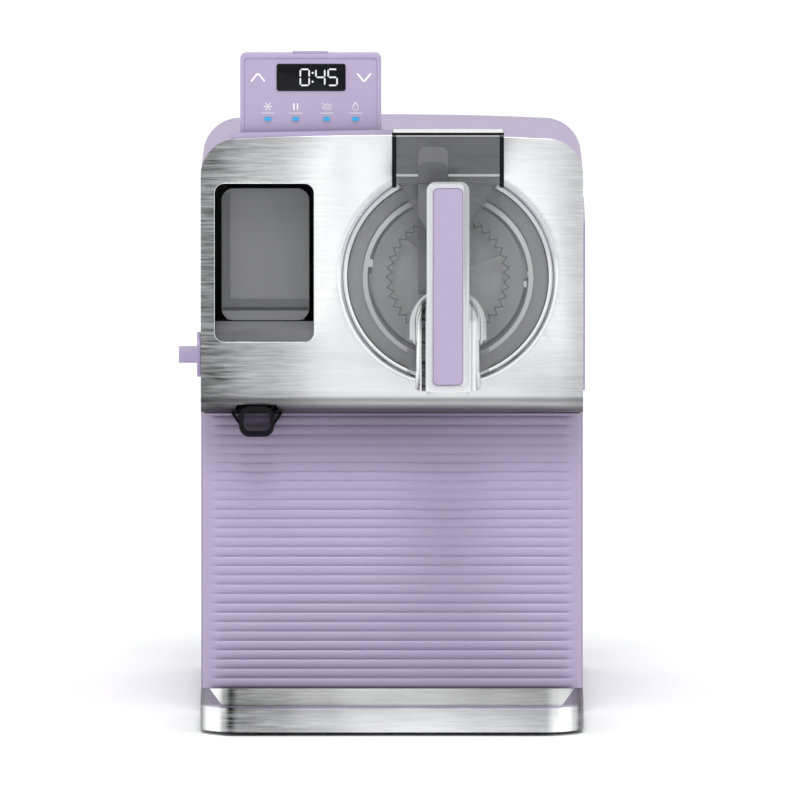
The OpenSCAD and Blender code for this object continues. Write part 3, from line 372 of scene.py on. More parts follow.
@dataclass(frozen=True)
class Brushed:
    """Metal brushed in one direction, with streaks in its colour, gloss and relief."""

    name: str
    colour: Colour
    stretch: tuple[float, float, float] = (2.0, 2.0, 34.0)
    roughness: float = 0.3
    streak: float = 0.10
    depth: float = 0.00002

    def make(self) -> bpy.types.Material:
        """Builds the material."""
        recipe = Recipe(self.name)
        fine = recipe.noise(15.0, self.stretch, detail=5.0)
        cloud = recipe.noise(11.0, detail=2.0)
        low, high = (shade(self.colour, 1.0 + change) for change in (-self.streak, self.streak))
        recipe.set(
            Base_Color=recipe.blend(fine, low, high),
            Metallic=1.0,
            Roughness=fine * 0.14 + cloud * 0.04 + (self.roughness - 0.09),
        )
        recipe.bump(fine, self.depth)
        return recipe.material


@dataclass(frozen=True)
class PaintedSheenSheet:
    """Brushed sheet metal with a painted reflection that swells and fades across its width and painted
    shade that darkens it along one axis.
    """

    name: str
    left: float
    right: float
    painted_sheen: tuple[Point2, ...]
    painted_hem_shade: tuple[Point2, ...] = ((0.0, 1.0), (1.0, 1.0))
    hem_axis: str = "Z"
    hem_low: float = 0.0
    hem_high: float = 1.0
    roughness: float = 0.36
    streak: float = 0.42

    def make(self) -> bpy.types.Material:
        """Builds the material."""
        recipe = Recipe(self.name)
        fine = recipe.noise(16.0, (3.4, 3.4, 44.0), detail=4.0)
        long = recipe.noise(9.0, (1.4, 1.4, 60.0), detail=2.0)
        hair = recipe.noise(30.0, (3.4, 3.4, 100.0), detail=3.0)
        streaks = (fine * 0.5 + long * 0.3 + hair * 0.2 - 0.5) * 4.0
        # painted reflection across the width; painted darkening along the chosen axis
        painted_sheen = recipe.ramp(recipe.along("X", self.left, self.right), self.painted_sheen)
        painted_hem_shade = recipe.ramp(recipe.along(self.hem_axis, self.hem_low, self.hem_high), self.painted_hem_shade)
        painted_sheen_and_streaks = (painted_sheen + streaks * (1.12 - painted_sheen) * self.streak) * painted_hem_shade
        recipe.set(
            Base_Color=recipe.blend(painted_sheen_and_streaks, BLACK, WHITE),
            Metallic=1.0,
            Roughness=fine * 0.1 + (1.0 - painted_hem_shade) * 0.2 + (self.roughness - 0.05),
        )
        recipe.bump(fine, 0.00003)
        return recipe.material


@dataclass(frozen=True)
class Polished:
    """Polished or plated metal with faint wiping marks."""

    name: str
    colour: Colour
    roughness: float = 0.1

    def make(self) -> bpy.types.Material:
        """Builds the material."""
        recipe = Recipe(self.name)
        smudge = recipe.noise(45.0, detail=4.0)
        fine = recipe.noise(900.0, (1.0, 1.0, 0.1), detail=2.0)
        recipe.set(
            Base_Color=recipe.blend(smudge, shade(self.colour, 0.93), self.colour),
            Metallic=1.0,
            Roughness=smudge * 0.07 + fine * 0.03 + (self.roughness - 0.05),
        )
        return recipe.material


@dataclass(frozen=True)
class Smoked:
    """Glossy smoked transparent plastic; alpha is the share of light that it stops."""

    name: str
    colour: Colour
    alpha: float = 0.5
    roughness: float = 0.12
    coat: float = 0.6
    specular: float = 0.5

    def make(self) -> bpy.types.Material:
        """Builds the material."""
        recipe = Recipe(self.name)
        haze = recipe.noise(30.0, detail=3.0)
        flow = recipe.noise(8.0, (1.0, 1.0, 2.5), detail=2.0)
        recipe.set(
            Base_Color=recipe.blend(flow, shade(self.colour, 0.9), self.colour),
            Roughness=haze * 0.06 + (self.roughness - 0.03),
            Alpha=flow * 0.06 + (self.alpha - 0.03),
            Coat_Weight=self.coat,
            Coat_Roughness=0.04,
            Specular_IOR_Level=self.specular,
        )
        recipe.bump(flow, 0.0004, 0.25)
        return recipe.material


@dataclass(frozen=True)
class Lit:
    """A lamp or display segment that gives its own light."""

    name: str
    colour: Colour
    strength: float = 1.0

    def make(self) -> bpy.types.Material:
        """Builds the material."""
        recipe = Recipe(self.name)
        spread = recipe.noise(400.0, detail=1.0)
        recipe.set(
            Base_Color=(0.02, 0.02, 0.02),
            Emission_Color=recipe.blend(spread, shade(self.colour, 0.9), self.colour),
            Emission_Strength=self.strength,
            Roughness=0.3,
        )
        return recipe.material


@dataclass(frozen=True)
class Grainy:
    """Rough, coarse-grained matter such as rubber or foam."""

    name: str
    colour: Colour
    roughness: float = 0.8
    scale: float = 900.0
    depth: float = 0.0001

    def make(self) -> bpy.types.Material:
        """Builds the material."""
        recipe = Recipe(self.name)
        pores = recipe.noise(self.scale, detail=4.0)
        cloud = recipe.noise(self.scale * 0.05, detail=2.0)
        recipe.set(
            Base_Color=recipe.blend(cloud * 0.6 + pores * 0.4, shade(self.colour, 0.8), self.colour),
            Roughness=pores * 0.12 + (self.roughness - 0.06),
        )
        recipe.bump(pores, self.depth)
        return recipe.material


@dataclass(frozen=True)
class Circuit:
    """Solder-masked circuit board with fine copper tracks under the mask."""

    name: str
    colour: Colour = (0.02, 0.15, 0.07)

    def make(self) -> bpy.types.Material:
        """Builds the material."""
        recipe = Recipe(self.name)
        tracks = recipe.node("TexBrick", {"offset": 0.5}, "Fac", Vector=recipe.place(), Scale=160.0,
                             Mortar_Size=0.03)
        recipe.set(
            Base_Color=recipe.blend(tracks, self.colour, shade(self.colour, 1.6)),
            Roughness=tracks * 0.1 + 0.3,
        )
        return recipe.material


LAVENDER: Colour = (0.415, 0.346, 0.512)
FINISHES = {finish.name: finish for finish in (
    Moulded("lavender_shell", LAVENDER, 0.45),
    # the column's colour carries painted shade under the head's overhang
    PaintedShadeShell("lavender_column", LAVENDER, 0.45, low=0.145, high=0.1892, left=-0.11, right=0.124),
    Moulded("lavender_trim", LAVENDER, 0.36, grain=0.00002, coat=0.15),
    # steel head: painted reflection across the width and painted dark reflection stripes along its lower
    # edge
    PaintedSheenSheet(
        "steel_panel",
        left=-0.112,
        right=0.124,
        painted_sheen=((0.0, 0.24), (0.17, 0.52), (0.36, 0.97), (0.42, 1.0), (0.76, 0.99), (0.92, 0.85),
               (1.0, 0.66)),
        painted_hem_shade=((0.0, 0.2), (0.074, 0.24), (0.154, 0.55), (0.21, 0.36), (0.27, 0.72), (0.35, 0.8),
             (0.6, 0.88), (1.0, 1.0)),
        hem_low=0.1885,
        hem_high=0.2385,
    ),
    # drip tray: painted reflection across the width with painted highlights at both round corners, and
    # painted shade on the basin behind the front
    PaintedSheenSheet(
        "tray_steel",
        left=-0.112,
        right=0.124,
        painted_sheen=((0.0, 0.5), (0.02, 1.0), (0.045, 1.0), (0.062, 0.4), (0.078, 0.09), (0.1, 0.3),
               (0.186, 0.38), (0.312, 0.56), (0.44, 0.72), (0.6, 0.75), (0.75, 0.63), (0.9, 0.5),
               (0.93, 0.9), (0.945, 1.0), (0.962, 1.0), (0.978, 0.6), (0.991, 0.15), (1.0, 0.5)),
        painted_hem_shade=((0.0, 1.0), (0.1, 1.0), (0.2, 0.42), (1.0, 0.42)),
        hem_axis="Y",
        hem_low=-0.175,
        hem_high=-0.075,
        roughness=0.3,
        streak=0.3,
    ),
    # spout barrel: painted reflection stripes down the cylinder
    PaintedSheenSheet(
        "barrel_steel",
        left=0.02055,
        right=0.06075,
        painted_sheen=((0.0, 0.3), (0.02, 0.95), (0.085, 1.0), (0.1, 0.06), (0.15, 0.06), (0.17, 0.75),
               (0.5, 0.85), (0.84, 0.75), (0.86, 0.5), (0.9, 0.85), (0.94, 0.7), (0.97, 1.0), (1.0, 0.4)),
        roughness=0.22,
        streak=0.16,
    ),
    Polished("polished_steel", (0.82, 0.82, 0.84), 0.14),
    Polished("lever_chrome", (0.7, 0.7, 0.72), 0.12),
    Polished("collar_steel", (0.6, 0.6, 0.61), 0.28),
    Smoked("smoked_plastic", (0.22, 0.22, 0.223), 0.36),
    Smoked("smoked_hopper", (0.165, 0.165, 0.167), 0.52),
    Smoked("smoked_bin", (0.17, 0.17, 0.173), 0.9, 0.25),
    Moulded("bin_shade", (0.1, 0.1, 0.102), 0.3, grain=0.00001),
    Moulded("recess_grey", (0.1, 0.1, 0.103), 0.45),
    Moulded("grey_plastic", (0.22, 0.22, 0.225), 0.35),
    Moulded("dark_plastic", (0.035, 0.035, 0.038), 0.45),
    Moulded("white_plastic", (0.78, 0.78, 0.77), 0.35),
    Grainy("silicone", (0.72, 0.72, 0.7), 0.55, 500.0, 0.00003),
    Grainy("black_rubber", (0.03, 0.03, 0.03), 0.75),
    Polished("black_glass", (0.02, 0.02, 0.022), 0.12),
    Brushed("machined_steel", (0.6, 0.6, 0.61), (40.0, 1.0, 40.0), 0.28),
    Brushed("cylinder_aluminium", (0.86, 0.86, 0.87), (1.0, 60.0, 1.0), 0.3),
    Polished("copper", (0.72, 0.36, 0.22), 0.3),
    Grainy("foam", (0.75, 0.7, 0.52), 0.9, 350.0, 0.0006),
    Moulded("painted_black", (0.02, 0.02, 0.022), 0.28, coat=0.4),
    Brushed("galvanised", (0.5, 0.51, 0.52), (3.0, 3.0, 3.0), 0.45, 0.16),
    Moulded("gear_nylon", (0.72, 0.68, 0.55), 0.4),
    Polished("brass", (0.75, 0.56, 0.28), 0.22),
    Circuit("board_green"),
    Grainy("cable", (0.02, 0.02, 0.022), 0.5, 700.0, 0.00002),
    Lit("digits", (0.92, 0.95, 1.0), 1.0),
    Lit("indicator_blue", (0.008, 0.42, 0.85), 1.0),
    Moulded("white_print", (0.9, 0.9, 0.9), 0.5, grain=0.00001),
    Moulded("pale_plastic", (0.85, 0.85, 0.85), 0.4),
    # pale grey for the cover's catches; it also paints highlights on the cover's chamfer and on two
    # hopper ridges
    Moulded("frosted_edge", (0.42, 0.42, 0.425), 0.3, grain=0.00001),
    Moulded("shade_grey", (0.11, 0.11, 0.112), 0.35, grain=0.00001),
    Smoked("smoked_wall", (0.008, 0.008, 0.009), 0.95, 0.2, coat=0.0, specular=0.08),
    # painted shadow of the pull lever on the hopper, funnel and cover, a paler and a darker layer
    Moulded("band_grey", (0.135, 0.135, 0.137), 0.25, grain=0.00001, coat=0.3),
    Moulded("band_dark", (0.092, 0.092, 0.094), 0.25, grain=0.00001, coat=0.3),
    # white that paints the reflection on the hopper lid's top
    Moulded("lid_gloss", (0.93, 0.93, 0.93), 0.2, grain=0.00001, coat=0.5),
)}


class Palette:
    """Makes each finish once, when it is first used."""

    def __init__(self) -> None:
        """Starts with no material made."""
        self.made: dict[str, bpy.types.Material] = {}

    def get(self, name: str) -> bpy.types.Material:
        """Gives a finish's material.

        Args:
            name: key of the finish.

        Returns:
            The material.
        """
        if name not in self.made:
            self.made[name] = FINISHES[name].make()
        return self.made[name]


# ---------------------------------------------------------------- shapes


class Plane(Enum):
    """Plane that an outline is drawn in; its thickness runs along the third axis."""

    FRONT = (0, 2, 1)
    TOP = (0, 1, 2)


def arc(centre: Point2, radius: float, start: float, end: float, steps: int = 8) -> list[Point2]:
    """Points along an arc.

    Args:
        centre: middle of the arc.
        radius: radius of the arc.
        start: first angle in degrees.
        end: last angle in degrees.
        steps: number of segments.

    Returns:
        The points from start to end.
    """
    angles = [math.radians(start + (end - start) * i / steps) for i in range(steps + 1)]
    return [(centre[0] + radius * math.cos(a), centre[1] + radius * math.sin(a)) for a in angles]


def rounded(lo: Point2, hi: Point2, radius: float, steps: int = 8) -> list[Point2]:
    """Rectangle with round corners.

    Args:
        lo: lower left corner.
        hi: upper right corner.
        radius: corner radius.
        steps: segments per corner.

    Returns:
        The outline, anticlockwise.
    """
    r = radius
    points = arc((hi[0] - r, hi[1] - r), r, 0, 90, steps)
    points += arc((lo[0] + r, hi[1] - r), r, 90, 180, steps)
    points += arc((lo[0] + r, lo[1] + r), r, 180, 270, steps)
    return points + arc((hi[0] - r, lo[1] + r), r, 270, 360, steps)


def circle(centre: Point2, radius: float, steps: int = 96) -> list[Point2]:
    """Full circle as an outline.

    Args:
        centre: middle of the circle.
        radius: radius of the circle.
        steps: number of points.

    Returns:
        The outline, anticlockwise.
    """
    return arc(centre, radius, 0, 360 - 360 / steps, steps - 1)


class Form:
    """A mesh under construction, shaped by bmesh operators."""

    def __init__(self) -> None:
        """Starts an empty mesh."""
        self.bm = bmesh.new()

    def _point(self, plane: Plane, u: float, v: float, w: float) -> Vector:
        """Places a point given in an outline's own plane.

        Args:
            plane: plane of the outline.
            u: first coordinate in the plane.
            v: second coordinate in the plane.
            w: coordinate across the plane.

        Returns:
            The point in the frame.
        """
        where = [0.0, 0.0, 0.0]
        for axis, value in zip(plane.value, (u, v, w)):
            where[axis] = value
        return Vector(where)

    def slab(self, plane: Plane, outline: Sequence[Point2], w0: float, w1: float,
             holes: Iterable[Sequence[Point2]] = ()) -> "Form":
        """Adds a plate with an outline and holes.

        Args:
            plane: plane of the outline.
            outline: closed outline.
            w0: near side of the plate.
            w1: far side of the plate.
            holes: closed outlines of through holes.

        Returns:
            The form itself.
        """
        edges = []
        for loop in (outline, *holes):
            verts = [self.bm.verts.new(self._point(plane, u, v, w0)) for u, v in loop]
            edges += [self.bm.edges.new((a, b)) for a, b in zip(verts, verts[1:] + verts[:1])]
        filled = bmesh.ops.triangle_fill(self.bm, use_beauty=True, use_dissolve=False, edges=edges)
        faces = [g for g in filled["geom"] if isinstance(g, bmesh.types.BMFace)]
        raised = bmesh.ops.extrude_face_region(self.bm, geom=faces)
        moved = [g for g in raised["geom"] if isinstance(g, bmesh.types.BMVert)]
        bmesh.ops.translate(self.bm, verts=moved, vec=self._point(plane, 0, 0, w1 - w0))
        bmesh.ops.recalc_face_normals(self.bm, faces=self.bm.faces)
        return self

    def lathe(self, profile: Sequence[Point2], centre: Vector, axis: Vector, steps: int = 96) -> "Form":
        """Spins a profile into a closed body.

        Args:
            profile: (radius, distance along the axis) pairs; ends on the axis are welded.
            centre: point on the axis where the distance is zero.
            axis: unit vector along the axis.
            steps: number of segments round the axis.

        Returns:
            The form itself.
        """
        side = axis.orthogonal().normalized()
        verts = [self.bm.verts.new(centre + side * r + axis * h) for r, h in profile]
        edges = [self.bm.edges.new(pair) for pair in zip(verts, verts[1:])]
        if min(profile[0][0], profile[-1][0]) > WELD:
            edges.append(self.bm.edges.new((verts[-1], verts[0])))
        bmesh.ops.spin(self.bm, geom=verts + edges, cent=centre, axis=axis, angle=math.tau,
                       steps=steps, use_merge=True)
        bmesh.ops.remove_doubles(self.bm, verts=self.bm.verts, dist=WELD / 10)
        bmesh.ops.recalc_face_normals(self.bm, faces=self.bm.faces)
        return self

    def grid(self, columns: int, rows: int, place: Callable[[float, float], Vector]) -> "Form":
        """Adds a sheet whose points follow a rule.

        Args:
            columns: number of cells along u.
            rows: number of cells along v.
            place: gives the point for u and v from 0 to 1.

        Returns:
            The form itself.
        """
        made = bmesh.ops.create_grid(self.bm, x_segments=columns, y_segments=rows, size=0.5)
        for vert in made["verts"]:
            vert.co = place(vert.co.x + 0.5, vert.co.y + 0.5)
        return self

    def box(self, lo: Sequence[float], hi: Sequence[float]) -> "Form":
        """Adds a block.

        Args:
            lo: lowest corner.
            hi: highest corner.

        Returns:
            The form itself.
        """
        made = bmesh.ops.create_cube(self.bm, size=1.0)
        size = Vector(hi) - Vector(lo)
        bmesh.ops.scale(self.bm, vec=size, verts=made["verts"])
        bmesh.ops.translate(self.bm, vec=Vector(lo) + size / 2, verts=made["verts"])
        return self

    def wall(self, thickness: float) -> "Form":
        """Gives an open sheet a thickness.

        Args:
            thickness: thickness of the wall, away from its normals.

        Returns:
            The form itself.
        """
        bmesh.ops.recalc_face_normals(self.bm, faces=self.bm.faces)
        bmesh.ops.solidify(self.bm, geom=self.bm.faces[:], thickness=thickness)
        return self

    def mesh(self, name: str) -> bpy.types.Mesh:
        """Turns the form into a mesh and lets the form go.

        Args:
            name: name of the mesh.

        Returns:
            The mesh.
        """
        made = bpy.data.meshes.new(name)
        self.bm.to_mesh(made)
        self.bm.free()
        return made


def stand(name: str, data: bpy.types.ID) -> bpy.types.Object:
    """Puts an object into the scene.

    Args:
        name: name of the object.
        data: its mesh, light or camera.

    Returns:
        The object.
    """
    made = bpy.data.objects.new(name, data)
    bpy.context.scene.collection.objects.link(made)
    return made


class Workshop:
    """Turns forms into pieces that ride on bodies and stand for CAD nodes."""

    def __init__(self, frame: dict) -> None:
        """Keeps the frame and an empty palette.
        """
        self.frame = frame
        self.palette = Palette()
        record = frame["record"]
        self.slots = {part["node"]: part["material_slot"] for part in record["subparts"]}
        self.bodies = {n: body for body, names in record["behaviour"]["bodies"].items() for n in names}
        self.count = 0

    def edge(self, piece: bpy.types.Object, bevel: float, segments: int, angle: float) -> None:
        """Rounds a piece's edges and sets its shading.

        Args:
            piece: the piece.
            bevel: width of the round, or 0 for none.
            segments: segments across the round.
            angle: edges sharper than this many degrees are rounded.
        """
        piece.data.shade_smooth()
        if bevel <= 0:
            piece.data.set_sharp_from_angle(angle=math.radians(angle))
            return
        rounding = piece.modifiers.new("edge rounding", "BEVEL")
        rounding.width = bevel
        rounding.segments = segments
        rounding.limit_method = "ANGLE"
        rounding.angle_limit = math.radians(angle)
        rounding.use_clamp_overlap = True
        rounding.harden_normals = True

    def piece(self, name: str, form: Form, finish: str, stands_for: Sequence[str] = (),
              body: str | None = None, bevel: float = 0.0003, segments: int = 2,
              angle: float = 32.0) -> bpy.types.Object:
        """Makes a piece from a form.

        Args:
            name: name of the piece.
            form: its finished mesh.
            finish: key of its finish.
            stands_for: CAD nodes that it replaces; the first one names its body.
            body: body that it rides on, if it replaces no node.
            bevel: width of the rounding of its edges.
            segments: segments across the rounding.
            angle: edges sharper than this many degrees are rounded.

        Returns:
            The piece.
        """
        mesh = form.mesh(name)
        piece = stand(name, mesh)
        mesh.materials.append(self.palette.get(finish))
        self.edge(piece, bevel, segments, angle)
        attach(piece, body or self.bodies[stands_for[0]])
        if stands_for:
            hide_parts(*stands_for)
        elif finish in self.slots.values():
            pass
        self.count += 1
        log.info("%s: %d faces, %s", name, len(mesh.polygons), finish)
        return piece

    def trim(self, name: str, form: Form, finish: str, node: str, bevel: float = 0.0) -> None:
        """Adds a small piece that rides with a CAD node and replaces none.

        Args:
            name: name of the piece.
            form: its finished mesh.
            finish: key of its finish.
            node: CAD node that names its body.
            bevel: width of the rounding of its edges.
        """
        self.piece(name, form, finish, body=self.bodies[node], bevel=bevel)

    def refine(self, node: str, finish: str | None = None, bevel: float = 0.0004,
               segments: int = 2) -> bpy.types.Object:
        """Replaces a CAD node by a welded copy of itself with rounded edges.

        Args:
            node: name of the CAD node.
            finish: key of its finish, or None for the finish of its slot.
            bevel: width of the rounding of its edges.
            segments: segments across the rounding.

        Returns:
            The piece.
        """
        form = Form()
        form.bm.from_mesh(self.frame["nodes"][node].data)
        bmesh.ops.remove_doubles(form.bm, verts=form.bm.verts, dist=2 * WELD)
        bmesh.ops.dissolve_limit(form.bm, angle_limit=math.radians(0.4), use_dissolve_boundaries=False,
                                 verts=form.bm.verts, edges=form.bm.edges)
        return self.piece(node + "_finished", form, finish or self.slots[node], [node],
                          bevel=bevel, segments=segments)

    def dress(self, node: str) -> None:
        """Gives a CAD node that stays in view the finish of its slot.

        Args:
            node: name of the CAD node.
        """
        mesh = self.frame["nodes"][node].data
        mesh.materials.clear()
        mesh.materials.append(self.palette.get(self.slots[node]))


# ---------------------------------------------------------------- sub-assemblies


@dataclass
class Housing:
    """Plastic shells, steel head panel, base and the fixed details on them."""

    shop: Workshop
    rib_pitch: float = 5.83 * MM
    rib_depth: float = 1.25 * MM
    corner: float = 12.0 * MM
    fade: float = 5.0 * MM
    rib_end: float = 9.0 * MM
    set_back: float = 0.9 * MM
    wall: float = 2.5 * MM
    shells: tuple[str, ...] = ("left_side_shell", "right_side_shell", "top_cover", "rear_cover")
    fixed: tuple[str, ...] = ("side_vent", "power_inlet", "base_pan", "rubber_feet", "cover_screws")

    def rib(self, z: float, reach: float) -> float:
        """Depth of the ribbed face at a height.

        Args:
            z: height above the first groove.
            reach: 1 where the ribs stand full, 0 where they have faded out.

        Returns:
            How far the surface stands forward.
        """
        phase = 2.0 * ((z / self.rib_pitch) % 1.0) - 1.0
        return self.rib_depth * reach * math.sqrt(max(0.0, 1.0 - phase * phase))

    def column(self) -> bpy.types.Object:
        """Builds the ribbed column front with its round vertical edges."""
        lo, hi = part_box("column_front")
        top_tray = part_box("drip_tray")[1].z
        half, mid, r = (hi.x - lo.x) / 2, (hi.x + lo.x) / 2, self.corner
        plane_y = hi.y - r
        straight = half - r
        quarter = math.pi * r / 2
        length = 2 * (straight + quarter)
        ribs = round((hi.z - top_tray) / self.rib_pitch)

        def place(u: float, v: float) -> Vector:
            """Point of the sheet at u round the front and v up it."""
            s = (self.spread(u) - 0.5) * length
            z = lo.z + v * (hi.z - lo.z)
            over = max(0.0, abs(s) - straight)
            reach = min(1.0, max(0.0, (straight + self.rib_end - abs(s)) / self.fade))
            reach = reach * reach * (3 - 2 * reach)
            lift = self.rib(z - top_tray, reach) if z > top_tray else 0.0
            turn = over / r
            x = math.copysign(min(abs(s), straight) + r * math.sin(turn), s)
            y = plane_y + r - (r + lift) * math.cos(turn) + self.set_back
            return Vector((mid + x, min(y, hi.y), z))

        form = Form().grid(64, (ribs + 2) * 12, place).wall(self.wall)
        # its finish paints the shade that the overhanging head casts on the column
        return self.shop.piece("ribbed_column", form, "lavender_column", ["column_front"],
                               bevel=0, angle=50)

    def spread(self, u: float) -> float:
        """Crowds the sheet's columns towards its round edges.

        Args:
            u: even share of the width.

        Returns:
            Share of the width with finer steps at both ends.
        """
        return u - 0.11 * math.sin(math.tau * u)

    def painted_gap_shadow(self) -> None:
        """Builds a black strip that paints the shadow in the gap between the head and the column."""
        lo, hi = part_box("front_panel")
        inset, depth = 2 * MM, 1.6 * MM
        low, high = lo.z - 1.3 * MM, lo.z - 0.4 * MM
        # painted shadow: black strip where the gap under the head lies in shade
        form = Form().box((lo.x + inset, hi.y - depth, low), (hi.x - inset, hi.y, high))
        self.shop.trim("head_gap_painted_shadow", form, "black_rubber", "front_panel", 0.1 * MM)

    def build(self) -> None:
        """Builds the whole housing."""
        self.column()
        self.painted_gap_shadow()
        for node in self.shells:
            self.shop.refine(node, bevel=0.8 * MM, segments=3)
        # the front panel's finish, steel_panel, paints its reflections
        self.shop.refine("front_panel", bevel=0.45 * MM, segments=3)
        for node in self.fixed:
            self.shop.refine(node, bevel=0.4 * MM)


@dataclass
class Tray:
    """Brushed steel drip tray."""

    shop: Workshop

    def build(self) -> None:
        """Builds the tray from its node with soft edges."""
        # the tray's finish, tray_steel, paints its reflections, corner highlights and shaded basin
        self.shop.refine("drip_tray", bevel=1.1 * MM, segments=4)


@dataclass
class Cover:
    """Bezel, smoked cover, hopper and spout."""

    shop: Workshop
    wall: float = 2.7 * MM
    proud: float = 0.12 * MM
    floor_up: float = 46.0 * MM
    funnel_drop: float = 33.0 * MM
    funnel_back: float = 2.0 * MM
    # X edges and top round of the lever's painted shadow
    painted_shadow_band: Point2 = (-18.4 * MM, 0.1 * MM)
    painted_shadow_round: float = 5.0 * MM
    centre: Vector = field(init=False)
    ahead: Vector = field(init=False)

    def __post_init__(self) -> None:
        """Finds the cover's centre on the plane of the steel panel."""
        lo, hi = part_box("bezel_ring")
        self.centre = Vector(((lo.x + hi.x) / 2, hi.y, (lo.z + hi.z) / 2))
        self.ahead = Vector((0, -1, 0))

    def bezel(self) -> None:
        """Builds the polished ring with its two lands."""
        lo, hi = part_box("bezel_ring")
        outer = (hi.x - lo.x) / 2
        depth = hi.y - lo.y
        lands = [(0, 0.0), (0, 0.62), (0.7, 0.9), (2.2, 1.0), (2.6, 0.8), (4.6, 0.62), (5.0, 0.8),
                 (6.3, 0.86), (7.1, 0.7), (7.1, 0.0)]
        profile = [(outer - inset * MM, depth * share) for inset, share in lands]
        form = Form().lathe(profile, self.centre, self.ahead, 128)
        self.shop.piece("bezel_band", form, "polished_steel", ["bezel_ring"], bevel=0.25 * MM)

    def strips(self, x: Point2, heights: Iterable[Point2], y: float) -> Form:
        """Makes thin upright strips that stand just proud of a face.

        Args:
            x: left and right end.
            heights: lower and upper end of each strip.
            y: depth of the face.

        Returns:
            A form with the strips.
        """
        form = Form()
        for low, high in heights:
            form.box((x[0], y - self.proud, low), (x[1], y + self.proud, high))
        return form

    def hopper_trim(self) -> None:
        """Builds the dark side walls, pale strips that paint highlights on two ridges, the floor lines
        and a white sheet that paints the reflection on the lid's top.
        """
        lo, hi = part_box("hopper")
        lid_lo, lid_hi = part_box("hopper_lid")
        floor = lo.z + self.floor_up
        walls = Form()
        for x in (lo.x, hi.x - self.wall):
            walls.box((x, lo.y - self.proud, floor - 2.5 * MM),
                      (x + self.wall, lo.y + self.proud, lid_lo.z + 2.6 * MM))
        self.shop.trim("hopper_walls", walls, "smoked_wall", "hopper")
        inside = (lo.x + self.wall, hi.x - self.wall)
        # painted highlights: pale strips where two ridges of the hopper catch the light
        ridges = self.strips(inside, [(floor + 4.4 * MM, floor + 5.9 * MM),
                                      (lid_hi.z - 2.5 * MM, lid_hi.z - 1.75 * MM)], lo.y)
        self.shop.trim("hopper_ridge_highlights", ridges, "frosted_edge", "hopper")
        lines = self.strips(inside, [(floor + 9.4 * MM, floor + 9.9 * MM),
                                     (floor + 16.6 * MM, floor + 16.9 * MM)], lo.y)
        face = lo.y + self.funnel_back
        slope = [(31, 0.2), (29.4, 0.2), (9.2, -32.4), (10, -33)]
        for side in (-1, 1):
            loop = [(self.centre.x + side * u * MM, floor + v * MM) for u, v in slope]
            lines.slab(Plane.FRONT, loop, face - self.proud, face + self.proud)
        self.shop.trim("hopper_lines", lines, "shade_grey", "hopper")
        rim = [(lid_hi.z - 1.6 * MM, lid_hi.z - 0.15 * MM)]
        edge = self.strips((lid_lo.x, lid_hi.x), rim, lid_lo.y)
        self.shop.trim("lid_edge", edge, "smoked_wall", "hopper_lid")
        # painted reflection: a white sheet on the lid's top stands for the light that it reflects
        side, front, back = 0.8 * MM, 0.3 * MM, 4.5 * MM
        top = rounded((lid_lo.x + side, lid_lo.y + front), (lid_hi.x - side, lid_hi.y - back), 2.2 * MM)
        painted_reflection = Form().slab(Plane.TOP, top, lid_hi.z - self.proud, lid_hi.z + self.proud)
        self.shop.trim("lid_gloss", painted_reflection, "lid_gloss", "hopper_lid")

    def painted_lever_shadow(self) -> None:
        """Builds the painted shadow of the pull lever, a darker strip that runs down from the hopper to
        the spout.
        """
        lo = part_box("hopper")[0]
        floor, r = lo.z + self.floor_up, self.painted_shadow_round
        x0, x1 = (self.centre.x + offset for offset in self.painted_shadow_band)
        # painted shadow in two layers: the darker one covers only the lower part of the arch
        painted_shadow_band, deep = Form(), Form()
        for form, rise, y in ((painted_shadow_band, 23.0 * MM, lo.y), (deep, 13.2 * MM, lo.y - self.proud)):
            arch = [(x0, floor + 0.4 * MM), (x1, floor + 0.4 * MM)]
            arch += arc((x1 - r, floor + rise - r), r, 0, 90)
            arch += arc((x0 + r, floor + rise - r), r, 90, 180)
            form.slab(Plane.FRONT, arch, y - 2 * self.proud, y - self.proud)
        self.shop.trim("painted_lever_shadow_deep", deep, "band_dark", "hopper")
        low = floor - self.funnel_drop
        funnel = [(x0, floor), (x1, floor), (x1, low), (self.centre.x - 10.6 * MM, low),
                  (x0, floor - 20 * MM)]
        foot = floor - 70 * MM
        chute = [(x0, foot), (x1, foot), (x1, low - 1 * MM), (x0, floor - 20.5 * MM)]
        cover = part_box("hopper_lid")[0].y + 13 * MM
        for outline, face in ((funnel, lo.y + self.funnel_back), (chute, cover)):
            painted_shadow_band.slab(Plane.FRONT, outline, face - 2 * self.proud, face - self.proud)
        self.shop.trim("painted_lever_shadow", painted_shadow_band, "band_grey", "hopper")

    def ring(self, profile: Sequence[Point2], steps: int) -> Form:
        """Spins a profile given in millimetres round the cover's axis.

        Args:
            profile: (radius, height in front of the steel panel) pairs.
            steps: segments round the axis.

        Returns:
            A form with the ring.
        """
        return Form().lathe([(r * MM, h * MM) for r, h in profile], self.centre, self.ahead, steps)

    def chamfer_highlight_and_catches(self) -> None:
        """Builds a pale ring that paints the highlight on the cover's chamfer, its three catches and the
        pale plate behind it.
        """
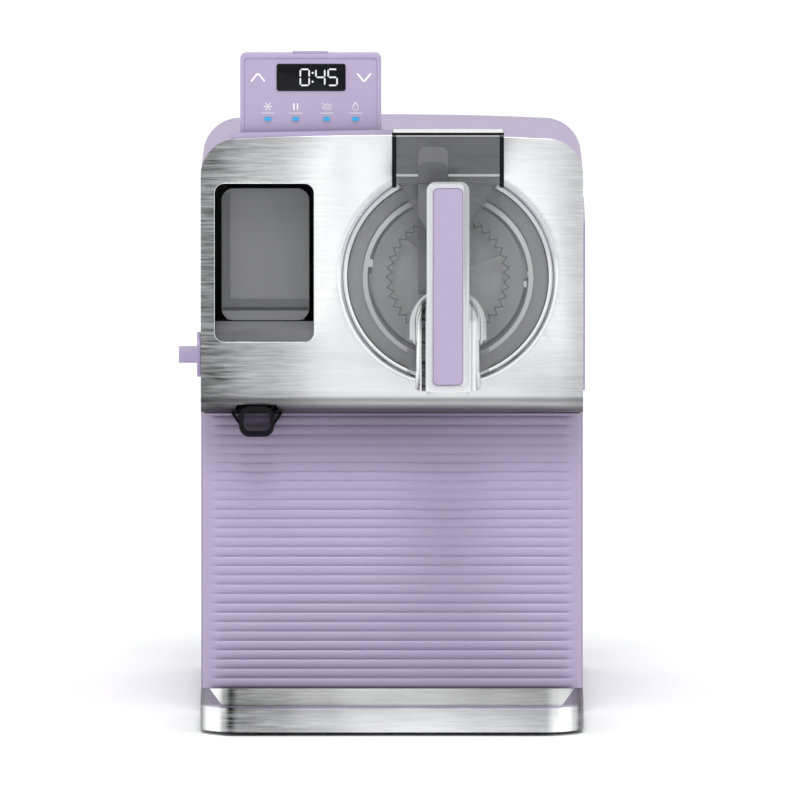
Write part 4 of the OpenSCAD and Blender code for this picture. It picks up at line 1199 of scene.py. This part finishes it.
        # painted highlight: a pale ring on the cover's chamfer
        rim = self.ring([(49.6, 12.0), (50.0, 12.2), (52.6, 9.6), (52.6, 9.0), (49.8, 11.6)], 128)
        self.shop.trim("cover_rim_painted_highlight", rim, "frosted_edge", "front_cover")
        catches = Form()
        for x, z, w, h in ((-47.7, 9.4, 3.0, 5.0), (50.0, 2.5, 2.0, 4.0), (47.6, -3.7, 2.0, 4.0)):
            at = self.centre + Vector((x, -12.1, z)) * MM
            across, up = w / 2 * MM, h / 2 * MM
            outline = rounded((at.x - across, at.z - up), (at.x + across, at.z + up), 0.8 * MM, 4)
            catches.slab(Plane.FRONT, outline, at.y, at.y + 0.6 * MM)
        plate = self.ring([(52.7, -2.0), (62.4, -2.0), (62.4, -1.5), (52.7, -1.5)], 96)
        self.shop.trim("cylinder_mouth", plate, "pale_plastic", "front_panel")
        self.shop.trim("cover_catches", catches, "frosted_edge", "front_cover")

    def build(self) -> None:
        """Builds every piece of the cover."""
        self.bezel()
        self.shop.refine("front_cover", bevel=0.5 * MM, segments=2)
        self.shop.refine("hopper", "smoked_hopper", bevel=0.4 * MM)
        self.shop.refine("hopper_lid", "smoked_hopper", bevel=0.35 * MM)
        self.shop.refine("spout_collar", "collar_steel", bevel=0.5 * MM, segments=3)
        self.shop.refine("star_nozzle", bevel=0.25 * MM)
        # its finish paints the reflection stripes down the barrel
        self.shop.refine("spout_barrel", "barrel_steel", bevel=0.5 * MM, segments=3)
        self.hopper_trim()
        self.painted_lever_shadow()
        self.chamfer_highlight_and_catches()
        for node in ("plunger", "plunger_seal", "cover_seals", "hopper_lid_pin"):
            self.shop.dress(node)


@dataclass
class Lever:
    """Pull lever with a plated frame and a coloured inlay."""

    shop: Workshop

    def build(self) -> None:
        """Builds the frame, the inlay and the pin."""
        self.shop.refine("lever_frame", bevel=0.9 * MM, segments=4)
        self.shop.refine("lever_inlay", bevel=0.5 * MM, segments=3)
        self.shop.dress("lever_pin")


class Icon(Enum):
    """Plain signs printed on the control panel."""

    FLAKE = "flake"
    BARS = "bars"
    WAVE = "wave"
    DROP = "drop"


@dataclass
class ControlPanel:
    """Tilting panel with its display, touch fields and indicator lamps."""

    shop: Workshop
    digit_w: float = 6.4 * MM
    digit_h: float = 10.9 * MM
    stroke: float = 0.95 * MM
    print_t: float = 0.12 * MM
    sign: float = 5.6 * MM
    inset: float = 0.7 * MM
    rim: float = 2.6 * MM
    lamp: Point2 = (3.8 * MM, 2.3 * MM)
    gap: float = 0.3 * MM
    icons: tuple[Icon, ...] = (Icon.FLAKE, Icon.BARS, Icon.WAVE, Icon.DROP)
    segments_of: dict[str, str] = field(
        default_factory=lambda: {"0": "abcdef", "4": "bcfg", "5": "acdfg"}
    )

    def bar(self, form: Form, start: Point2, end: Point2, width: float, y: float) -> None:
        """Adds a printed stroke with pointed ends.

        Args:
            form: form that takes the stroke.
            start: first point in X and Z.
            end: last point in X and Z.
            width: width of the stroke.
            y: depth of its face.
        """
        along = Vector((end[0] - start[0], end[1] - start[1]))
        length = along.length
        along.normalize()
        across = Vector((-along.y, along.x)) * (width / 2)
        tip = min(width / 2, length / 3)
        a, b = Vector(start), Vector(end)
        near, far = a + along * tip, b - along * tip
        loop = [a, near - across, far - across, b, far + across, near + across]
        form.slab(Plane.FRONT, [(p.x, p.y) for p in loop], y, y + self.print_t)

    def digit(self, form: Form, value: str, left: float, low: float, y: float) -> None:
        """Adds a seven-segment digit.

        Args:
            form: form that takes the digit.
            value: the digit.
            left: X of its left side.
            low: Z of its foot.
            y: depth of its face.
        """
        w, h, t = self.digit_w, self.digit_h, self.stroke
        x0, x1 = left + t / 2, left + w - t / 2
        z0, z1, z2 = low + t / 2, low + h / 2, low + h - t / 2
        places = {
            "a": ((x0, z2), (x1, z2)), "b": ((x1, z1), (x1, z2)), "c": ((x1, z0), (x1, z1)),
            "d": ((x0, z0), (x1, z0)), "e": ((x0, z0), (x0, z1)), "f": ((x0, z1), (x0, z2)),
            "g": ((x0, z1), (x1, z1)),
        }
        for key in self.segments_of[value]:
            (ax, az), (bx, bz) = places[key]
            dx, dz = (self.gap, 0.0) if az == bz else (0.0, self.gap)
            self.bar(form, (ax + dx, az + dz), (bx - dx, bz - dz), t, y)

    def icon(self, form: Form, kind: Icon, x: float, z: float, y: float) -> None:
        """Adds one sign with a line under it.

        Args:
            form: form that takes the sign.
            kind: which sign.
            x: X of its middle.
            z: Z of its middle.
            y: depth of its face.
        """
        r, t = self.sign / 2, 0.42 * MM
        if kind is Icon.FLAKE:
            for turn in (0, 60, 120):
                c, s = math.cos(math.radians(turn)), math.sin(math.radians(turn))
                self.bar(form, (x - r * c, z - r * s), (x + r * c, z + r * s), t, y)
        elif kind is Icon.BARS:
            for side in (-0.4, 0.4):
                self.bar(form, (x + side * r, z - 0.8 * r), (x + side * r, z + 0.8 * r), 2 * t, y)
        elif kind is Icon.WAVE:
            for row in (-0.5, 0.0, 0.5):
                points = [(x + r * (i / 6 - 1) * 1.05, z + row * r + 0.16 * r * math.sin(i * math.pi / 3))
                          for i in range(13)]
                for start, end in zip(points, points[1:]):
                    self.bar(form, start, end, t, y)
        else:
            drop = [(x, z + r)] + arc((x, z - 0.25 * r), 0.62 * r, 25, -205, 14)
            for start, end in zip(drop, drop[1:] + drop[:1]):
                self.bar(form, start, end, t, y)
        self.bar(form, (x - 1.5 * r, z - 1.45 * r), (x + 1.5 * r, z - 1.45 * r), 0.3 * MM, y)

    def prints(self) -> None:
        """Adds the digits, the colon, the arrows and the signs."""
        lo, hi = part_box("display_window")
        y = lo.y - self.print_t
        low = lo.z + 0.52 * (hi.z - lo.z - self.digit_h)
        digits = Form()
        for value, right in (("5", 4.8), ("4", 12.4), ("0", 22.0)):
            self.digit(digits, value, hi.x - right * MM - self.digit_w, low, y)
        colon_x = hi.x - 20.3 * MM
        for share in (0.25, 0.75):
            z = low + share * self.digit_h
            digits.slab(Plane.FRONT, circle((colon_x, z), 0.62 * MM, 16), y, y + self.print_t)
        self.shop.trim("display_digits", digits, "digits", "panel_face")
        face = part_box("panel_face")[0].y + self.inset
        signs = Form()
        middle, reach, rise = (lo.z + hi.z) / 2, 4.4 * MM, 2.7 * MM
        for x, up in ((lo.x - 11.5 * MM, rise), (hi.x + 11.4 * MM, -rise)):
            for side in (-reach, reach):
                self.bar(signs, (x, middle + up), (x + side, middle - up), 1.1 * MM, face - self.print_t)
        for kind, x in zip(self.icons, self.lamp_places()):
            self.icon(signs, kind, x, lo.z - 9.6 * MM, face - self.print_t)
        self.shop.trim("panel_signs", signs, "white_print", "panel_face")

    def lamp_places(self) -> list[float]:
        """Gives the X of the four indicator lamps."""
        lo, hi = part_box("display_window")
        return [lo.x - 5.4 * MM, lo.x + 11.8 * MM, hi.x - 11.7 * MM, hi.x + 6.1 * MM]

    def face(self) -> None:
        """Builds the raised rim, the sunk face and the four lamps."""
        lo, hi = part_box("panel_face")
        win_lo, win_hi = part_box("display_window")
        rim = self.rim
        outer = rounded((lo.x, lo.z), (hi.x, hi.z), 3.7 * MM)
        inner = rounded((lo.x + rim, lo.z + rim), (hi.x - rim, hi.z - rim), 2.0 * MM)
        window = rounded((win_lo.x, win_lo.z), (win_hi.x, win_hi.z), 1.5 * MM)
        form = Form().slab(Plane.FRONT, outer, lo.y, hi.y, [inner])
        self.shop.piece("panel_rim", form, "lavender_trim", ["panel_face"], bevel=0.55 * MM, segments=3)
        form = Form().slab(Plane.FRONT, inner, lo.y + self.inset, hi.y, [window])
        self.shop.trim("panel_inset", form, "lavender_trim", "panel_face", 0.12 * MM)
        lamps = Form()
        z = win_lo.z - 17.3 * MM
        across, up = self.lamp[0] / 2, self.lamp[1] / 2
        for x in self.lamp_places():
            outline = rounded((x - across, z - up), (x + across, z + up), 0.5 * MM, 4)
            lamps.slab(Plane.FRONT, outline, lo.y + 0.05 * MM, lo.y + self.inset + 0.2 * MM)
        self.shop.trim("panel_lamps", lamps, "indicator_blue", "panel_face")

    def build(self) -> None:
        """Builds the whole panel."""
        self.shop.refine("panel_shell", "lavender_trim", bevel=0.6 * MM, segments=3)
        self.face()
        self.shop.refine("display_window", bevel=0.2 * MM)
        self.prints()
        self.shop.dress("panel_board")
        self.shop.dress("panel_hinge_pin")


@dataclass
class ToppingDispenser:
    """Recess, bin, rotor, knob and chute of the topping dispenser."""

    shop: Workshop
    recess_low: float = 235.0 * MM
    recess_round: float = 6.0 * MM
    lip: float = 0.35 * MM
    lip_in: float = 1.5 * MM
    proud: float = 0.1 * MM

    def bin_shades(self) -> None:
        """Builds the darker margin and the dark line on the bin's face."""
        lo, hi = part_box("topping_bin")
        near, far = lo.y - self.proud, lo.y + self.proud
        low, high = lo.z + 8.3 * MM, lo.z + 13.4 * MM
        inner, top = lo.x + 5.3 * MM, hi.z - 3 * MM
        margin = [(lo.x, low), (hi.x, low), (hi.x, high), (inner, high), (inner, top),
                  (lo.x + 1.6 * MM, top), (lo.x, hi.z - 7.4 * MM)]
        form = Form().slab(Plane.FRONT, margin, near, far)
        self.shop.trim("bin_margin", form, "bin_shade", "topping_bin")
        side = 0.2 * MM
        form = Form().box((lo.x + side, near, lo.z + 6 * MM), (hi.x - side, far, lo.z + 8.2 * MM))
        self.shop.trim("bin_line", form, "dark_plastic", "topping_bin")

    def recess_lip(self) -> None:
        """Builds the bright lip round the recess in the steel panel."""
        lo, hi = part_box("recess_liner")
        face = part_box("front_panel")[0].y
        inner, outer = (
            rounded((lo.x + self.lip_in - grow, self.recess_low - grow),
                    (hi.x - self.lip_in + grow, hi.z - self.lip_in + grow), self.recess_round + grow)
            for grow in (0.0, self.lip)
        )
        form = Form().slab(Plane.FRONT, outer, face - 0.15 * MM, face + 0.8 * MM, [inner])
        self.shop.trim("recess_lip", form, "polished_steel", "recess_liner", 0.1 * MM)

    def build(self) -> None:
        """Builds every piece of the dispenser."""
        self.shop.refine("recess_liner", "recess_grey", bevel=0.3 * MM)
        self.recess_lip()
        self.shop.refine("topping_bin", "smoked_bin", bevel=0.8 * MM, segments=3)
        self.bin_shades()
        self.shop.refine("topping_chute", "smoked_wall", bevel=0.4 * MM)
        self.shop.refine("topping_knob", bevel=0.9 * MM, segments=3)
        self.shop.dress("rotor_housing")
        self.shop.dress("topping_rotor")


@dataclass
class Machinery:
    """Freezing cylinder, drive, refrigeration and electrics inside the housing."""

    shop: Workshop
    teeth: int = 38
    tooth: float = 3.6 * MM
    line: float = 1.5 * MM
    tip: float = 38.9 * MM
    inner: tuple[str, ...] = (
        "freezing_cylinder", "evaporator_coil", "insulation_jacket", "auger", "auger_shaft", "shaft_seal",
        "rear_bearing", "gearbox_housing", "gearbox_cover", "drive_gear", "pinion", "drive_motor",
        "chassis_frame", "compressor", "compressor_mounts", "refrigerant_tubes", "filter_drier",
        "condenser", "fan_shroud", "fan_impeller", "fan_motor", "main_board", "wiring_harness",
    )

    def zigzag(self, x: float, z: float, tip: float) -> list[Point2]:
        """Outline of pointed teeth round a circle.

        Args:
            x: X of its middle.
            z: Z of its middle.
            tip: radius at the tips.

        Returns:
            The outline, anticlockwise.
        """
        points = []
        for i in range(2 * self.teeth):
            radius, angle = tip - self.tooth * (i % 2), math.pi * i / self.teeth
            points.append((x + radius * math.cos(angle), z + radius * math.sin(angle)))
        return points

    def scraper(self) -> None:
        """Builds the auger's pale front plate and the toothed ring that stands on it."""
        lo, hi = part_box("auger")
        x, z = (lo.x + hi.x) / 2, (lo.z + hi.z) / 2
        hub = circle((x, z), 10 * MM, 48)
        plate = Form().slab(Plane.FRONT, circle((x, z), 47 * MM), lo.y + 3.6 * MM, lo.y + 4.1 * MM, [hub])
        self.shop.trim("auger_plate", plate, "pale_plastic", "auger")
        outer, inner = (self.zigzag(x, z, tip) for tip in (self.tip, self.tip - self.line))
        ring = Form().slab(Plane.FRONT, outer, lo.y - 0.2 * MM, lo.y, [inner])
        self.shop.trim("auger_teeth", ring, "shade_grey", "auger")

    def build(self) -> None:
        """Gives every inner node its finish and adds the scraper."""
        for node in self.inner:
            self.shop.dress(node)
        self.scraper()


# ---------------------------------------------------------------- stage


@dataclass
class Studio:
    """Pale floor, soft lights and the camera."""

    distance: float = 20.0
    elevation: float = 6.5
    view_width: float = 0.49425
    aim: Vector = field(default_factory=lambda: Vector((0.01109, -0.071, 0.1965)))
    sensor: float = 36.0
    floor_size: float = 30.0

    def camera(self) -> None:
        """Places the camera far off with a long lens."""
        data = bpy.data.cameras.new("camera")
        data.sensor_width = self.sensor
        data.lens = self.sensor * self.distance / self.view_width
        data.clip_start, data.clip_end = 0.1, 60.0
        made = stand("camera", data)
        tilt = math.radians(self.elevation)
        made.location = self.aim + Vector((0, -math.cos(tilt), math.sin(tilt))) * self.distance
        made.rotation_euler = Euler((math.radians(90) - tilt, 0, 0))
        bpy.context.scene.camera = made

    def panel(self, name: str, place: Vector, size: Point2, power: float) -> None:
        """Adds a soft light that faces the machine.

        Args:
            name: name of the light.
            place: where it stands.
            size: width and height of its face.
            power: power in watts.
        """
        data = bpy.data.lights.new(name, "AREA")
        data.shape = "RECTANGLE"
        data.size, data.size_y = size
        data.energy = power
        made = stand(name, data)
        made.location = place
        aim = Vector((0, 0, 0.2)) - place
        made.rotation_euler = aim.to_track_quat("-Z", "Y").to_euler()

    def sun(self, elevation: float, strength: float, spread: float) -> None:
        """Adds a broad soft light from high in front.

        Args:
            elevation: height above the horizon in degrees.
            strength: strength of the light.
            spread: angle that it fills, in degrees.
        """
        data = bpy.data.lights.new("soft sun", "SUN")
        data.energy = strength
        data.angle = math.radians(spread)
        stand("soft sun", data).rotation_euler = Euler((math.radians(90 - elevation), 0, 0))

    def world(self) -> None:
        """Sets an even pale surrounding."""
        world = bpy.data.worlds.new("surround")
        world.use_nodes = True
        background = world.node_tree.nodes["Background"]
        background.inputs[0].default_value = (0.97, 0.98, 1.0, 1.0)
        background.inputs[1].default_value = 0.74
        bpy.context.scene.world = world

    def floor(self) -> None:
        """Lays a plain pale floor under the machine."""
        size = self.floor_size
        form = Form().grid(1, 1, lambda u, v: Vector(((u - 0.5) * size, (v - 0.5) * size, 0.0)))
        mesh = form.mesh("floor")
        made = stand("floor", mesh)
        recipe = Recipe("floor")
        recipe.set(Base_Color=(0.93, 0.93, 0.93), Roughness=0.8)
        mesh.materials.append(recipe.material)

    def build(self) -> None:
        """Sets up the whole stage."""
        bpy.context.scene.view_settings.view_transform = "Standard"
        self.camera()
        self.world()
        self.floor()
        self.sun(elevation=66.0, strength=1.5, spread=24.0)
        self.panel("left strip", Vector((-1.5, -1.3, 0.7)), size=(0.35, 1.8), power=5.0)
        self.panel("right strip", Vector((1.6, -1.1, 0.8)), size=(0.5, 1.8), power=5.0)


def main() -> None:
    """Builds the machine's looks."""
    logging.basicConfig(level=logging.INFO, format="%(message)s")
    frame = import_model()
    shop = Workshop(frame)
    Studio().build()
    for part in (Housing, Tray, Cover, Lever, ControlPanel, ToppingDispenser, Machinery):
        part(shop).build()
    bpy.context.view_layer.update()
    log.info("%d pieces made", shop.count)


if __name__ == "__main__":
    main()
